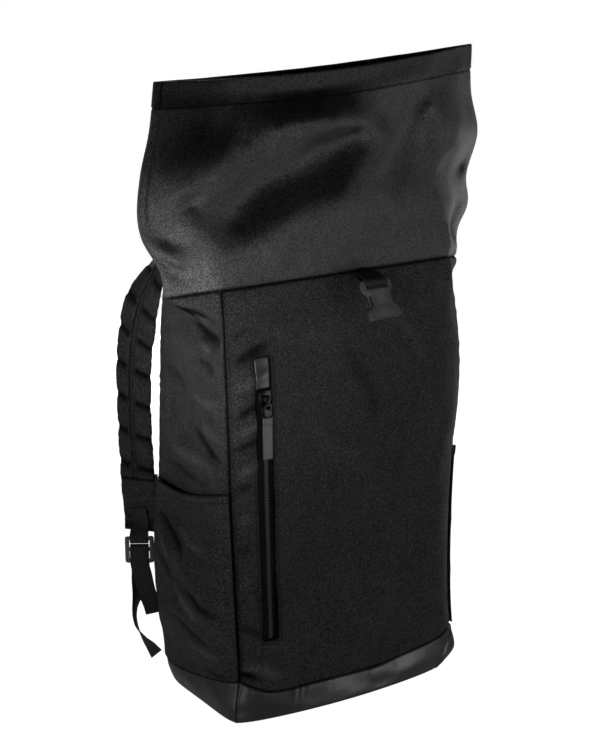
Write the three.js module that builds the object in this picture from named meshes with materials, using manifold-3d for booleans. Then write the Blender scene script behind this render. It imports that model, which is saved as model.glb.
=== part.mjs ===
// Roll-top laptop backpack, standing open on its base.
// Millimetres. The origin is the centre of the base on the floor, the front faces -Y and +Z is up.
import * as THREE from "three";
import { mergeVertices } from "three/addons/utils/BufferGeometryUtils.js";
import Module from "manifold-3d";

const wasm = await Module();
wasm.setup();

// Sizes of the bag.
const bodyWidth = 280;
const bodyDepth = 136;
const bodyHeight = 455;
const collarHeight = 202;
const collarWidth = 372;
const rimTilt = 12;
const clothThickness = 1.6;
const collarThickness = 1.3;
const hemHeight = 24;
const hemStep = 0.4;
const baseThickness = 2;
const backPadding = 9;
const pocketDepth = 12;
const pieceGap = 0.3;

// Sizes of the zip. Its left edge leans: its top and bottom are shares of half the body's width.
const zipTopPlace = -0.773;
const zipBottomPlace = -0.735;
const zipWidth = 16.6;
const zipTopShare = 0.844;
const zipBottomShare = 0.189;
const zipPatchHeight = 31.5;
const chainWidth = 7;
const tapeThickness = 0.9;
const pullerLength = 44;
const pullerWidth = 11.6;

// Sizes of the straps and of their hard parts.
const strapWidth = 55;
const strapPadding = 9;
const webbingWidth = 20;
const webbingThickness = 1.4;
const lockWidth = 31;
const lockHeight = 30;
const lockThickness = 4;
const buckleWebbingWidth = 25;
const buckleLength = 41;
const buckleThickness = 8.5;
const buckleTilt = 31;

const halfWidth = bodyWidth / 2;
const halfDepth = bodyDepth / 2;

// Upright corner seams of the body. Height is a share of bodyHeight, x of halfWidth and y of halfDepth.
// round is how far the cloth stands off the straight line between two seams, in millimetres.
const BODY_SECTIONS = [
  { height: 0.0, frontLeft: 0.95, frontRight: 0.95, front: 0.99, backLeft: 0.89, back: 1.03, round: 5 },
  { height: 0.04, frontLeft: 0.945, frontRight: 1.085, front: 0.985, backLeft: 0.94, back: 1.04, round: 6 },
  { height: 0.1, frontLeft: 0.912, frontRight: 1.045, front: 0.97, backLeft: 0.95, back: 1.05, round: 6.5 },
  { height: 0.22, frontLeft: 0.922, frontRight: 1.018, front: 0.97, backLeft: 0.975, back: 1.1, round: 8 },
  { height: 0.36, frontLeft: 0.94, frontRight: 1.02, front: 0.97, backLeft: 0.985, back: 1.1, round: 8 },
  { height: 0.53, frontLeft: 0.96, frontRight: 1.05, front: 0.97, backLeft: 0.98, back: 1.03, round: 8 },
  { height: 0.66, frontLeft: 0.966, frontRight: 1.106, front: 0.97, backLeft: 0.975, back: 0.98, round: 8 },
  { height: 0.77, frontLeft: 0.976, frontRight: 1.115, front: 0.97, backLeft: 0.975, back: 0.94, round: 7.5 },
  { height: 0.88, frontLeft: 0.986, frontRight: 1.075, front: 0.97, backLeft: 0.975, back: 0.88, round: 6 },
  { height: 0.95, frontLeft: 0.992, frontRight: 1.03, front: 0.97, backLeft: 0.975, back: 0.8, round: 4 },
  { height: 1.0, frontLeft: 0.998, frontRight: 0.992, front: 0.975, backLeft: 0.98, back: 0.74, round: 2 },
];

// How far each panel bellies out at its middle, in millimetres, by the share of bodyHeight.
const BELLY = [
  { height: 0.0, front: 13, left: -1, right: 4, back: 3 },
  { height: 0.1, front: 8, left: -2, right: 3, back: 3 },
  { height: 0.3, front: 3, left: -1, right: 1, back: 4 },
  { height: 0.6, front: 4, left: -2, right: -4, back: 5 },
  { height: 0.85, front: 2.5, left: -4, right: -4, back: 4 },
  { height: 1.0, front: 0, left: 0, right: 0, back: 2 },
];

// The side panels fold outwards under the collar. Drop is the share of bodyHeight below the seam,
// and left and right are how far the fold stands out there, in millimetres.
const SIDE_FOLD = [
  { drop: 0.0, left: 41, right: 34 },
  { drop: 0.022, left: 32, right: 37 },
  { drop: 0.044, left: 16, right: 23 },
  { drop: 0.066, left: 1, right: 8 },
  { drop: 0.09, left: -5, right: -1 },
  { drop: 0.15, left: -2, right: -1 },
  { drop: 0.25, left: 0, right: 0 },
  { drop: 1.0, left: 0, right: 0 },
];
const foldPlace = 0.3;
const foldDrop = 9;

// Top edge of the faux leather base, in millimetres above the floor, by the share along each side.
// The sides run anticlockwise from above: front, right, back, left.
const BAND_TOP = {
  front: [
    { along: 0, z: 44 },
    { along: 0.12, z: 29 },
    { along: 0.3, z: 28 },
    { along: 0.6, z: 28 },
    { along: 0.75, z: 32 },
    { along: 0.92, z: 37 },
    { along: 1, z: 46 },
  ],
  right: [
    { along: 0, z: 46 },
    { along: 0.2, z: 38 },
    { along: 0.7, z: 34 },
    { along: 1, z: 36 },
  ],
  back: [
    { along: 0, z: 36 },
    { along: 0.3, z: 33 },
    { along: 0.7, z: 33 },
    { along: 1, z: 34 },
  ],
  left: [
    { along: 0, z: 34 },
    { along: 0.3, z: 30.5 },
    { along: 0.7, z: 37 },
    { along: 1, z: 44 },
  ],
};

// Collar above the seam: v is the share of the collar's height, left and right are its half widths as
// shares of half of collarWidth, y is the depth of its side edges, bow is how far the front and back
// layers curve away from that line, and power is how squarely they do it.
const COLLAR_SECTIONS = [
  { v: 0.0, left: 0.985, right: 0.955, y: -31, bow: 36, bowBack: 74, power: 7 },
  { v: 0.1, left: 1.01, right: 0.945, y: -30, bow: 35, bowBack: 70, power: 6 },
  { v: 0.22, left: 1.068, right: 1.035, y: -28, bow: 34, bowBack: 62, power: 5 },
  { v: 0.38, left: 1.112, right: 1.022, y: -27, bow: 31, bowBack: 50, power: 4 },
  { v: 0.58, left: 1.092, right: 1.095, y: -28, bow: 27, bowBack: 37, power: 3.2 },
  { v: 0.78, left: 1.035, right: 1.04, y: -29, bow: 22, bowBack: 25, power: 2.6 },
  { v: 1.0, left: 1.003, right: 1.035, y: -30, bow: 17, bowBack: 14, power: 2.2 },
];
const RIM_LIFT = [
  { u: 0, z: 0 },
  { u: 0.17, z: -0.12 },
  { u: 0.5, z: -0.02 },
  { u: 0.81, z: 0.5 },
  { u: 1, z: 1 },
];

// Soft folds. Each has a depth in millimetres, outwards when positive, a width and a path of points.
// On the front panel the points are x and z as shares of halfWidth and bodyHeight, on the sides and
// their pockets y and z as shares of halfDepth and bodyHeight, on the collar shares of its size.
const FRONT_FOLDS = [
  { depth: -3, width: 9, path: [[-0.879, 0.101], [-0.821, 0.141], [-0.757, 0.176]] },
  { depth: 3, width: 15, path: [[-0.743, 0.079], [-0.443, 0.101]] },
  { depth: -2.5, width: 9, path: [[-0.471, 0.066], [-0.357, 0.136], [-0.214, 0.185]] },
  { depth: 3.5, width: 12, path: [[0.971, 0.114], [0.986, 0.163]] },
  { depth: -2, width: 14, path: [[0.429, 0.967], [0.686, 0.835], [0.857, 0.725]] },
  { depth: -2.5, width: 16, path: [[-0.429, 0.549], [-0.143, 0.418], [0.143, 0.352]] },
];
const SIDE_FOLDS = [
  { depth: -5, width: 10, path: [[-0.824, 0.914], [-0.441, 0.932], [0.441, 0.941]] },
  { depth: -4, width: 14, path: [[-0.882, 0.879], [-0.618, 0.897]] },
  { depth: 3, width: 12, path: [[-0.588, 0.853], [0.294, 0.87]] },
  { depth: -3, width: 12, path: [[-0.5, 0.602], [0.294, 0.659]] },
  { depth: -3, width: 13, path: [[0.632, 0.495], [0, 0.451], [-0.735, 0.389]] },
];
const COLLAR_FOLDS = [
  { depth: -8, width: 15, path: [[0.0, 0.42], [0.09, 0.5], [0.21, 0.62], [0.36, 0.75]] },
  { depth: 7, width: 17, path: [[0.26, 0.26], [0.31, 0.46], [0.41, 0.63], [0.65, 0.69]] },
  { depth: -6, width: 14, path: [[0.26, 0.26], [0.4, 0.3], [0.52, 0.37], [0.71, 0.37], [0.76, 0.42]] },
  { depth: -5, width: 9, path: [[0.87, 0.75], [0.81, 0.62], [0.77, 0.44]] },
  { depth: 5, width: 13, path: [[0.06, 0.46], [0.13, 0.3], [0.2, 0.14]] },
  { depth: -5, width: 12, path: [[0.0, 0.2], [0.06, 0.1], [0.1, 0.03]] },
  { depth: -6, width: 12, path: [[1.0, 0.4], [0.9, 0.36], [0.84, 0.3]] },
];
const POCKET_FOLDS = [
  { depth: -3.5, width: 10, path: [[0.632, 0.495], [0, 0.431], [-0.706, 0.369]] },
  { depth: 3, width: 11, path: [[0.588, 0.418], [0, 0.352], [-0.588, 0.286]] },
  { depth: -3, width: 10, path: [[0.735, 0.308], [0, 0.246], [-0.735, 0.198]] },
];

// Left shoulder strap from its anchor on the back panel to its lower end. x is a share of halfWidth,
// y is millimetres behind halfDepth, z a share of bodyHeight. The across direction points from the
// strap's inner edge to its outer edge. Width and thick are shares of the strap's own sizes.
const STRAP = [
  { x: -0.443, y: 0, z: 0.925, ax: 1, ay: 0, az: 0, width: 1, thick: 0.45 },
  { x: -0.447, y: 12, z: 0.965, ax: 1, ay: 0, az: 0, width: 1, thick: 0.6 },
  { x: -0.49, y: 19, z: 1.006, ax: 0.95, ay: 0.28, az: 0, width: 0.98, thick: 0.8 },
  { x: -0.6, y: 26, z: 1.026, ax: 0.77, ay: 0.62, az: 0.03, width: 0.93, thick: 0.85 },
  { x: -0.73, y: 16, z: 1.02, ax: 0.5, ay: 0.86, az: 0.08, width: 0.88, thick: 0.9 },
  { x: -0.84, y: 20, z: 0.99, ax: 0.24, ay: 0.96, az: 0.12, width: 0.86, thick: 0.9 },
  { x: -0.905, y: 28, z: 0.945, ax: 0.04, ay: 0.99, az: 0.1, width: 0.93, thick: 0.85 },
  { x: -0.945, y: 36, z: 0.9, ax: -0.12, ay: 0.99, az: 0.04, width: 1, thick: 0.8 },
  { x: -0.96, y: 44, z: 0.84, ax: -0.15, ay: 0.98, az: 0.02, width: 1.02, thick: 1 },
  { x: -0.968, y: 50, z: 0.78, ax: -0.17, ay: 0.98, az: 0, width: 0.99, thick: 0.84 },
  { x: -0.969, y: 53, z: 0.72, ax: -0.17, ay: 0.98, az: 0, width: 1.01, thick: 1 },
  { x: -0.969, y: 54, z: 0.66, ax: -0.17, ay: 0.98, az: 0, width: 0.99, thick: 0.86 },
  { x: -0.967, y: 54, z: 0.589, ax: -0.17, ay: 0.98, az: 0, width: 1, thick: 1 },
  { x: -0.965, y: 53, z: 0.53, ax: -0.18, ay: 0.98, az: 0, width: 0.99, thick: 0.88 },
  { x: -0.964, y: 51, z: 0.482, ax: -0.2, ay: 0.98, az: 0, width: 1, thick: 1 },
  { x: -0.964, y: 48, z: 0.436, ax: -0.24, ay: 0.97, az: -0.03, width: 0.98, thick: 0.94 },
  { x: -0.966, y: 46, z: 0.414, ax: -0.28, ay: 0.96, az: -0.05, width: 0.95, thick: 0.46 },
  { x: -0.972, y: 44, z: 0.396, ax: -0.36, ay: 0.93, az: -0.04, width: 0.86, thick: 0.34 },
  { x: -0.98, y: 42, z: 0.374, ax: -0.52, ay: 0.85, az: -0.02, width: 0.74, thick: 0.32 },
  { x: -1.005, y: 39, z: 0.355, ax: -0.76, ay: 0.65, az: 0, width: 0.62, thick: 0.3 },
];

// Section of the padded strap: a is a share of half the width, b of the thickness.
const PAD_SECTION = [
  [-1, 0], [-0.94, 0.26], [-0.78, 0.44], [-0.45, 0.5], [-0.12, 0.48], [-0.07, 0.34], [0.07, 0.34],
  [0.12, 0.48], [0.45, 0.5], [0.78, 0.44], [0.94, 0.26], [1, 0], [0.9, -0.32], [0.4, -0.5],
  [-0.4, -0.5], [-0.9, -0.32],
];
const strapSteps = 30;
const FLAT_SECTION = [[-1, 0.5], [1, 0.5], [1, -0.5], [-1, -0.5]];

// Ladder lock: its middle, and the direction its width and its face point to.
const lockPlace = { x: -1.028 * halfWidth, y: halfDepth + 36.5, z: 0.311 * bodyHeight };
const lockTurn = 34;
const lockAcross = direction(Math.cos(radians(lockTurn)), -Math.sin(radians(lockTurn)), 0);
const lockFace = direction(-Math.sin(radians(lockTurn)), -Math.cos(radians(lockTurn)), 0);
const lockBar = 4;
const lockMiddleBar = 3;

// Run of webbing from the base's back corner up to the lock, and the free tail in front of it.
// x is a share of halfWidth, y is millimetres behind halfDepth, z is millimetres above the floor.
const LOAD_RUN = [
  { x: -1.004, y: 11.4, z: 28.5, ax: 0.08, ay: 0.12, az: -0.98 },
  { x: -1.014, y: 14, z: 31.5, ax: 0.12, ay: 0.22, az: -0.96 },
  { x: -1.016, y: 16, z: 36.5, ax: 0.2, ay: 0.6, az: -0.75 },
  { x: -1.055, y: 24, z: 44, ax: 0.36, ay: 0.8, az: -0.45 },
  { x: -1.086, y: 33, z: 57, ax: 0.52, ay: 0.83, az: -0.15 },
  { x: -1.088, y: 36, z: 73, ax: 0.68, ay: 0.73, az: 0 },
  { x: -1.042, y: 38, z: 94, ax: 0.93, ay: 0.32, az: 0 },
  { x: -1.013, y: 39, z: 112, ax: 0.9, ay: -0.42, az: 0 },
];
const TAIL_RUN = [
  { x: -1.025, y: 32, z: 114, ax: 0.83, ay: -0.56, az: 0 },
  { x: -1.0, y: 30.5, z: 94, ax: 0.83, ay: -0.56, az: 0 },
  { x: -0.955, y: 30, z: 72, ax: 0.83, ay: -0.56, az: 0 },
  { x: -0.915, y: 30, z: 54, ax: 0.83, ay: -0.56, az: 0 },
];

// Outline of the buckle's socket half: l is the share of its length from the bar's end, w its half
// width in millimetres.
const BUCKLE_OUTLINE = [
  { l: 0.0, w: 14.5 },
  { l: 0.05, w: 16.6 },
  { l: 0.12, w: 17.8 },
  { l: 0.26, w: 17.8 },
  { l: 0.33, w: 13 },
  { l: 0.42, w: 11.2 },
  { l: 0.66, w: 11.2 },
  { l: 0.74, w: 14.6 },
  { l: 0.81, w: 16.6 },
  { l: 1.0, w: 17.4 },
];
const buckleSlotStart = 5.6;
const buckleSlotEnd = 10.4;
const buckleFrameThickness = 4;
const buckleBodyStart = 0.29;
const mouthHalfWidth = 12;
const mouthHalfHeight = 3;
const mouthDepth = 25;

function radians(degrees) {
  return (degrees * Math.PI) / 180;
}

function direction(x, y, z) {
  return new THREE.Vector3(x, y, z).normalize();
}

function mix(a, b, share) {
  return a + (b - a) * share;
}

function smooth(low, high, value) {
  const t = Math.min(Math.max((value - low) / (high - low), 0), 1);
  return t * t * (3 - 2 * t);
}

// Value of a column on a smooth curve through a table's rows.
function read(rows, key, column, at) {
  const last = rows.length - 1;
  let i = 0;
  while (i < last - 1 && at > rows[i + 1][key]) {
    i += 1;
  }
  const slope = (k) => {
    const a = rows[Math.max(k - 1, 0)];
    const b = rows[Math.min(k + 1, last)];
    return (b[column] - a[column]) / (b[key] - a[key]);
  };
  const b = rows[i];
  const c = rows[i + 1];
  const span = c[key] - b[key];
  const t = Math.min(Math.max((at - b[key]) / span, 0), 1);
  const t2 = t * t;
  const t3 = t2 * t;
  return (
    (2 * t3 - 3 * t2 + 1) * b[column] +
    (t3 - 2 * t2 + t) * span * slope(i) +
    (3 * t2 - 2 * t3) * c[column] +
    (t3 - t2) * span * slope(i + 1)
  );
}

// Displacement of a list of folds at a point, with the point and paths scaled to millimetres.
function foldRelief(folds, a, b, scaleA, scaleB) {
  let total = 0;
  for (const fold of folds) {
    let nearest = Infinity;
    let taper = 1;
    const steps = fold.path.length - 1;
    for (let k = 0; k < steps; k += 1) {
      const ax = fold.path[k][0] * scaleA;
      const ay = fold.path[k][1] * scaleB;
      const bx = fold.path[k + 1][0] * scaleA;
      const by = fold.path[k + 1][1] * scaleB;
      const length2 = (bx - ax) ** 2 + (by - ay) ** 2;
      const along = ((a * scaleA - ax) * (bx - ax) + (b * scaleB - ay) * (by - ay)) / length2;
      const t = Math.min(Math.max(along, 0), 1);
      const away = Math.hypot(a * scaleA - mix(ax, bx, t), b * scaleB - mix(ay, by, t));
      if (away < nearest) {
        nearest = away;
        const place = (k + t) / steps;
        taper = Math.min(1, 0.35 + 2.2 * Math.min(place, 1 - place));
      }
    }
    total += fold.depth * taper * Math.exp(-((nearest / fold.width) ** 2));
  }
  return total;
}

// Closed geometry from points and triangles, turned so that its faces point out.
function closedGeometry(points, faces) {
  const used = new Map();
  const positions = [];
  const index = [];
  for (const face of faces) {
    for (const corner of face) {
      if (!used.has(corner)) {
        used.set(corner, used.size);
        positions.push(points[corner].x, points[corner].y, points[corner].z);
      }
      index.push(used.get(corner));
    }
  }
  let volume = 0;
  for (const [a, b, c] of faces) {
    volume += points[a].dot(new THREE.Vector3().crossVectors(points[b], points[c]));
  }
  if (volume < 0) {
    for (let i = 0; i < index.length; i += 3) {
      [index[i], index[i + 1]] = [index[i + 1], index[i]];
    }
  }
  const geometry = new THREE.BufferGeometry();
  geometry.setAttribute("position", new THREE.Float32BufferAttribute(positions, 3));
  geometry.setIndex(index);
  geometry.computeVertexNormals();
  return geometry;
}

// A sheet with thickness from lists of shares along and up, with an outer and an inner face.
// A cell that isOpen names is left out, and the hole gets walls.
function sheetSolid(alongs, ups, outer, inner, isOpen) {
  const columns = alongs.length - 1;
  const rows = ups.length - 1;
  const points = [];
  const faces = [];
  for (const place of [outer, inner]) {
    for (const along of alongs) {
      for (const up of ups) {
        points.push(place(along, up));
      }
    }
  }
  const layer = alongs.length * ups.length;
  const at = (i, j, side) => side * layer + i * ups.length + j;
  const filled = (i, j) => {
    if (i < 0 || j < 0 || i >= columns || j >= rows) {
      return false;
    }
    return !(isOpen && isOpen((alongs[i] + alongs[i + 1]) / 2, (ups[j] + ups[j + 1]) / 2));
  };
  const quad = (a, b, c, d) => faces.push([a, b, c], [a, c, d]);
  for (let i = 0; i < columns; i += 1) {
    for (let j = 0; j < rows; j += 1) {
      if (!filled(i, j)) {
        continue;
      }
      quad(at(i, j, 0), at(i + 1, j, 0), at(i + 1, j + 1, 0), at(i, j + 1, 0));
      quad(at(i, j, 1), at(i, j + 1, 1), at(i + 1, j + 1, 1), at(i + 1, j, 1));
      if (!filled(i, j - 1)) {
        quad(at(i + 1, j, 0), at(i, j, 0), at(i, j, 1), at(i + 1, j, 1));
      }
      if (!filled(i + 1, j)) {
        quad(at(i + 1, j + 1, 0), at(i + 1, j, 0), at(i + 1, j, 1), at(i + 1, j + 1, 1));
      }
      if (!filled(i, j + 1)) {
        quad(at(i, j + 1, 0), at(i + 1, j + 1, 0), at(i + 1, j + 1, 1), at(i, j + 1, 1));
      }
      if (!filled(i - 1, j)) {
        quad(at(i, j, 0), at(i, j + 1, 0), at(i, j + 1, 1), at(i, j, 1));
      }
    }
  }
  return closedGeometry(points, faces);
}

// A band swept through stations. Each station has a place, the across and out directions, a width
// and a thickness, and the section's shares are of half the width and of the thickness.
function bandSolid(stations, section) {
  const points = [];
  const faces = [];
  const count = section.length;
  for (const s of stations) {
    for (const [a, b] of section) {
      points.push(
        s.at
          .clone()
          .addScaledVector(s.across, (a * s.width) / 2)
          .addScaledVector(s.out, b * s.thick)
      );
    }
  }
  for (let k = 0; k < stations.length - 1; k += 1) {
    for (let i = 0; i < count; i += 1) {
      const next = (i + 1) % count;
      const a = k * count + i;
      const b = k * count + next;
      faces.push([a, b, b + count], [a, b + count, a + count]);
    }
  }
  const flat = section.map(([a, b]) => new THREE.Vector2(a, b));
  const end = (stations.length - 1) * count;
  for (const [a, b, c] of THREE.ShapeUtils.triangulateShape(flat, [])) {
    faces.push([a, b, c], [end + a, end + c, end + b]);
  }
  return closedGeometry(points, faces);
}

// Mirror image across the bag's middle plane.
function mirrored(geometry) {
  const copy = geometry.clone();
  copy.scale(-1, 1, 1);
  const index = copy.index.array;
  for (let i = 0; i < index.length; i += 3) {
    [index[i], index[i + 1]] = [index[i + 1], index[i]];
  }
  copy.computeVertexNormals();
  return copy;
}

// Body panels. The sides run anticlockwise from above, each from its first corner seam to its second.
const SIDES = {
  front: ["frontLeft", "frontRight"],
  right: ["frontRight", "backRight"],
  back: ["backRight", "backLeft"],
  left: ["backLeft", "frontLeft"],
};
const BEFORE = { front: "left", right: "front", back: "right", left: "back" };
const AFTER = { front: "right", right: "back", back: "left", left: "front" };

function cornerSeam(name, z) {
  const share = z / bodyHeight;
  const atFront = name.startsWith("front");
  const sign = name.endsWith("Left") ? -1 : 1;
  const column = atFront ? name : "backLeft";
  const x = sign * halfWidth * read(BODY_SECTIONS, "height", column, share);
  const depth = halfDepth * read(BODY_SECTIONS, "height", atFront ? "front" : "back", share);
  return new THREE.Vector2(x, atFront ? -depth : depth);
}

// Share of the side fold at a place along a side panel, 1 on the fold and 0 on the seams.
function foldShare(side, along) {
  if (side !== "left" && side !== "right") {
    return 0;
  }
  const fromFront = side === "left" ? 1 - along : along;
  return fromFront < foldPlace ? fromFront / foldPlace : (1 - fromFront) / (1 - foldPlace);
}

// Height of the seam between body and collar.
function seamHeight(side, along) {
  return bodyHeight - foldDrop * foldShare(side, along);
}

function bandTop(side, along) {
  return read(BAND_TOP[side], "along", "z", along);
}

// A point on a body panel's outer face, without its small folds.
function panelPlace(side, along, z) {
  const share = z / bodyHeight;
  const a = cornerSeam(SIDES[side][0], z);
  const b = cornerSeam(SIDES[side][1], z);
  const chord = b.clone().sub(a);
  const out = new THREE.Vector2(chord.y, -chord.x).normalize();
  const power = side === "front" || side === "back" ? 12 : 6;
  const round = read(BODY_SECTIONS, "height", "round", share);
  const belly = read(BELLY, "height", side, share);
  const drop = Math.max((seamHeight(side, along) - z) / bodyHeight, 0);
  const onFold = foldShare(side, along);
  const fold = onFold > 0 ? onFold * read(SIDE_FOLD, "drop", side, drop) : 0;
  const rise =
    round * (1 - Math.abs(2 * along - 1) ** power) + belly * 4 * along * (1 - along) + fold;
  return a.addScaledVector(chord, along).addScaledVector(out, rise);
}

// Level direction out of a body panel's outer face.
function panelOut(side, along, z) {
  const step = 0.006;
  const a = panelPlace(side, Math.max(along - step, 0), z);
  const b = panelPlace(side, Math.min(along + step, 1), z);
  const run = b.sub(a);
  return new THREE.Vector2(run.y, -run.x).normalize();
}

// The same, halfway between two panels on their shared seam, and how much longer a slanted step is.
function mitreOut(side, along, z) {
  const own = panelOut(side, along, z);
  if (along > 0 && along < 1) {
    return { out: own, stretch: 1 };
  }
  const other = along === 0 ? panelOut(BEFORE[side], 1, z) : panelOut(AFTER[side], 0, z);
  const out = own.clone().add(other).normalize();
  return { out, stretch: 1 / Math.max(out.dot(own), 0.6) };
}

// A point of a body panel's face, moved out by a distance.
function panelPoint(side, along, z, away) {
  const place = panelPlace(side, along, z);
  const { out, stretch } = mitreOut(side, along, z);
  const step = away * stretch + panelFolds(side, along, z);
  return new THREE.Vector3(place.x + out.x * step, place.y + out.y * step, z);
}

// Small folds of a body panel at a point of it, which fade out at the panel's edges.
function panelFolds(side, along, z) {
  const top = seamHeight(side, along);
  const fade = smooth(0, 0.1, along) * smooth(0, 0.1, 1 - along) * smooth(0, 14, top - z);
  const lift = smooth(0, 8, z - bandTop(side, along));
  const place = panelPlace(side, along, z);
  const share = z / bodyHeight;
  if (side === "front") {
    return fade * lift * foldRelief(FRONT_FOLDS, place.x / halfWidth, share, halfWidth, bodyHeight);
  }
  if (side === "left" || side === "right") {
    return fade * lift * foldRelief(SIDE_FOLDS, place.y / halfDepth, share, halfDepth, bodyHeight);
  }
  return 0;
}

// Moves a panel's first and last columns off the seam, so that neighbours keep a gap.
function offSeam(side, along, z, point) {
  if (along > 0 && along < 1) {
    return point;
  }
  const a = cornerSeam(SIDES[side][0], z);
  const b = cornerSeam(SIDES[side][1], z);
  const way = b.sub(a).normalize();
  const step = (along === 0 ? 1 : -1) * pieceGap * 0.75;
  return point.add(new THREE.Vector3(way.x * step, way.y * step, 0));
}

// Height of a row of a body panel between the base and the collar.
function rowHeight(side, along, up) {
  const low = bandTop(side, along) + pieceGap / 2;
  const high = seamHeight(side, along) - pieceGap / 2;
  return mix(low, high, up);
}

function bodyPanel(side, alongs, ups, depthAt, isOpen) {
  const face = (inwards) => (along, up) => {
    const z = rowHeight(side, along, up);
    const away = inwards ? -depthAt(along, up) : 0;
    return offSeam(side, along, z, panelPoint(side, along, z, away));
  };
  return sheetSolid(alongs, ups, face(false), face(true), isOpen);
}

// Columns of the side and back panels, which the base and the pockets share.
const sideColumns = [0, 0.05, 0.13, 0.28, 0.45, 0.58, 1 - foldPlace, 0.83, 0.93, 1];
const rightColumns = sideColumns.map((along) => 1 - along).reverse();
const backColumns = [0, 0.03, 0.08, 0.14, 0.3, 0.5, 0.7, 0.86, 0.92, 0.97, 1];

function evenly(count) {
  return Array.from({ length: count + 1 }, (unused, i) => i / count);
}

// Front panel, with a window for the zip.
function zipHeights() {
  return { top: zipTopShare * bodyHeight, bottom: zipBottomShare * bodyHeight };
}

function frontAlong(x, z) {
  const a = cornerSeam("frontLeft", z).x;
  const b = cornerSeam("frontRight", z).x;
  return (x - a) / (b - a);
}

// Left edge of the zip's window at a height.
function zipLeft(z) {
  const { top, bottom } = zipHeights();
  return halfWidth * mix(zipBottomPlace, zipTopPlace, (z - bottom) / (top - bottom));
}

// The front panel's columns bend so that two of them follow the window's upright edges.
const windowColumns = { left: 0.13, right: 0.19 };

function bentAlong(column, z) {
  const left = frontAlong(zipLeft(z), z);
  const right = frontAlong(zipLeft(z) + zipWidth, z);
  if (column <= windowColumns.left) {
    return (column / windowColumns.left) * left;
  }
  if (column <= windowColumns.right) {
    const share = (column - windowColumns.left) / (windowColumns.right - windowColumns.left);
    return mix(left, right, share);
  }
  return mix(right, 1, (column - windowColumns.right) / (1 - windowColumns.right));
}

function frontPoint(column, z, away) {
  const along = Math.min(Math.max(bentAlong(column, z), 0), 1);
  return offSeam("front", along, z, panelPoint("front", along, z, away));
}

const frontColumns = [
  0, 0.04, 0.085, 0.13, 0.19, 0.24, 0.32, 0.4, 0.48, 0.56, 0.64, 0.72, 0.8, 0.87, 0.93, 0.97, 1,
];

const WINDOW_ROWS = [0, 0.12, 0.25, 0.38, 0.5, 0.62, 0.75, 0.88, 1];

// Where a column of the front panel meets the base.
function frontFoot(column) {
  let along = column;
  for (let round = 0; round < 4; round += 1) {
    const z = bandTop("front", Math.min(Math.max(along, 0), 1));
    along = Math.min(Math.max(bentAlong(column, z), 0), 1);
  }
  return along;
}

function frontPanel() {
  const { top, bottom } = zipHeights();
  const rows = [
    ...[0, 0.16, 0.36, 0.6, 0.8].map((t) => ({ part: 0, t })),
    ...WINDOW_ROWS.map((t) => ({ part: 1, t })),
    ...[0.3, 0.6, 0.85, 1].map((t) => ({ part: 2, t })),
  ];
  const height = (column, row) => {
    const low = bandTop("front", frontFoot(column)) + pieceGap / 2;
    const high = bodyHeight - pieceGap / 2;
    if (row.part === 0) {
      return mix(low, bottom, row.t);
    }
    return row.part === 1 ? mix(bottom, top, row.t) : mix(top, high, row.t);
  };
  const ups = rows.map((unused, i) => i);
  const face = (away) => (column, up) => frontPoint(column, height(column, rows[up]), away);
  const isOpen = (column, up) => {
    const inColumns = column > windowColumns.left && column < windowColumns.right;
    return inColumns && up > 5 && up < 13;
  };
  return sheetSolid(frontColumns, ups, face(0), face(-clothThickness), isOpen);
}

// A strip that lies at a depth under the front panel's outer face, between two heights. Its rows are
// the front panel's own, so that both bend at the same heights.
function zipStrip(low, high, from, to, outDepth, thickness) {
  const { top, bottom } = zipHeights();
  const rows = WINDOW_ROWS.map((t) => mix(bottom, top, t)).filter((z) => z > low + 1 && z < high - 1);
  const face = (away) => (across, z) => {
    const along = frontAlong(zipLeft(z) + zipWidth * mix(from, to, across), z);
    return panelPoint("front", along, z, away);
  };
  return sheetSolid([0, 0.5, 1], [low, ...rows, high], face(-outDepth), face(-outDepth - thickness));
}

// Collar seen as one wall from its left fold to its right fold, by the front or by the back.
function collarSeam(layer, u) {
  const edge = layer === "front" ? 0.11 : 0.2;
  const inner = Math.min(Math.max((u - edge) / (1 - 2 * edge), 0), 1);
  let side = layer;
  let along = layer === "front" ? inner : 1 - inner;
  if (u < edge) {
    side = "left";
    along = layer === "front" ? mix(1 - foldPlace, 1, u / edge) : mix(1 - foldPlace, 0, u / edge);
  }
  if (u > 1 - edge) {
    side = "right";
    along = layer === "front" ? mix(foldPlace, 0, (1 - u) / edge) : mix(foldPlace, 1, (1 - u) / edge);
  }
  const z = seamHeight(side, along);
  const place = panelPlace(side, along, z);
  return new THREE.Vector3(place.x, place.y, z);
}

function rimHeight(u) {
  return bodyHeight + collarHeight + rimTilt * read(RIM_LIFT, "u", "z", u);
}

function collarPlace(layer, u, v) {
  const seam = collarSeam(layer, u);
  const column = (name) => read(COLLAR_SECTIONS, "v", name, v);
  const half = collarWidth / 2;
  const x = mix(-column("left") * half, column("right") * half, u);
  const swell = 1 - Math.abs(2 * u - 1) ** column("power");
  const way = layer === "front" ? -1 : 1;
  const bow = column(layer === "front" ? "bow" : "bowBack");
  const share = smooth(0, 0.3, v);
  const atEdge = 1 - smooth(0, 0.07, Math.min(u, 1 - u));
  const apart = way * (collarThickness + hemStep + pieceGap / 2);
  const y = column("y") + way * bow * swell;
  const z = mix(seam.z + pieceGap / 2, rimHeight(u), v);
  return new THREE.Vector3(mix(seam.x, x, share), mix(seam.y + apart * atEdge, y + apart, share), z);
}

function collarOut(layer, u, v) {
  const step = 0.008;
  const a = collarPlace(layer, Math.max(u - step, 0), v);
  const b = collarPlace(layer, Math.min(u + step, 1), v);
  const run = b.sub(a);
  const way = layer === "front" ? 1 : -1;
  return new THREE.Vector3(way * run.y, -way * run.x, 0).normalize();
}

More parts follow.
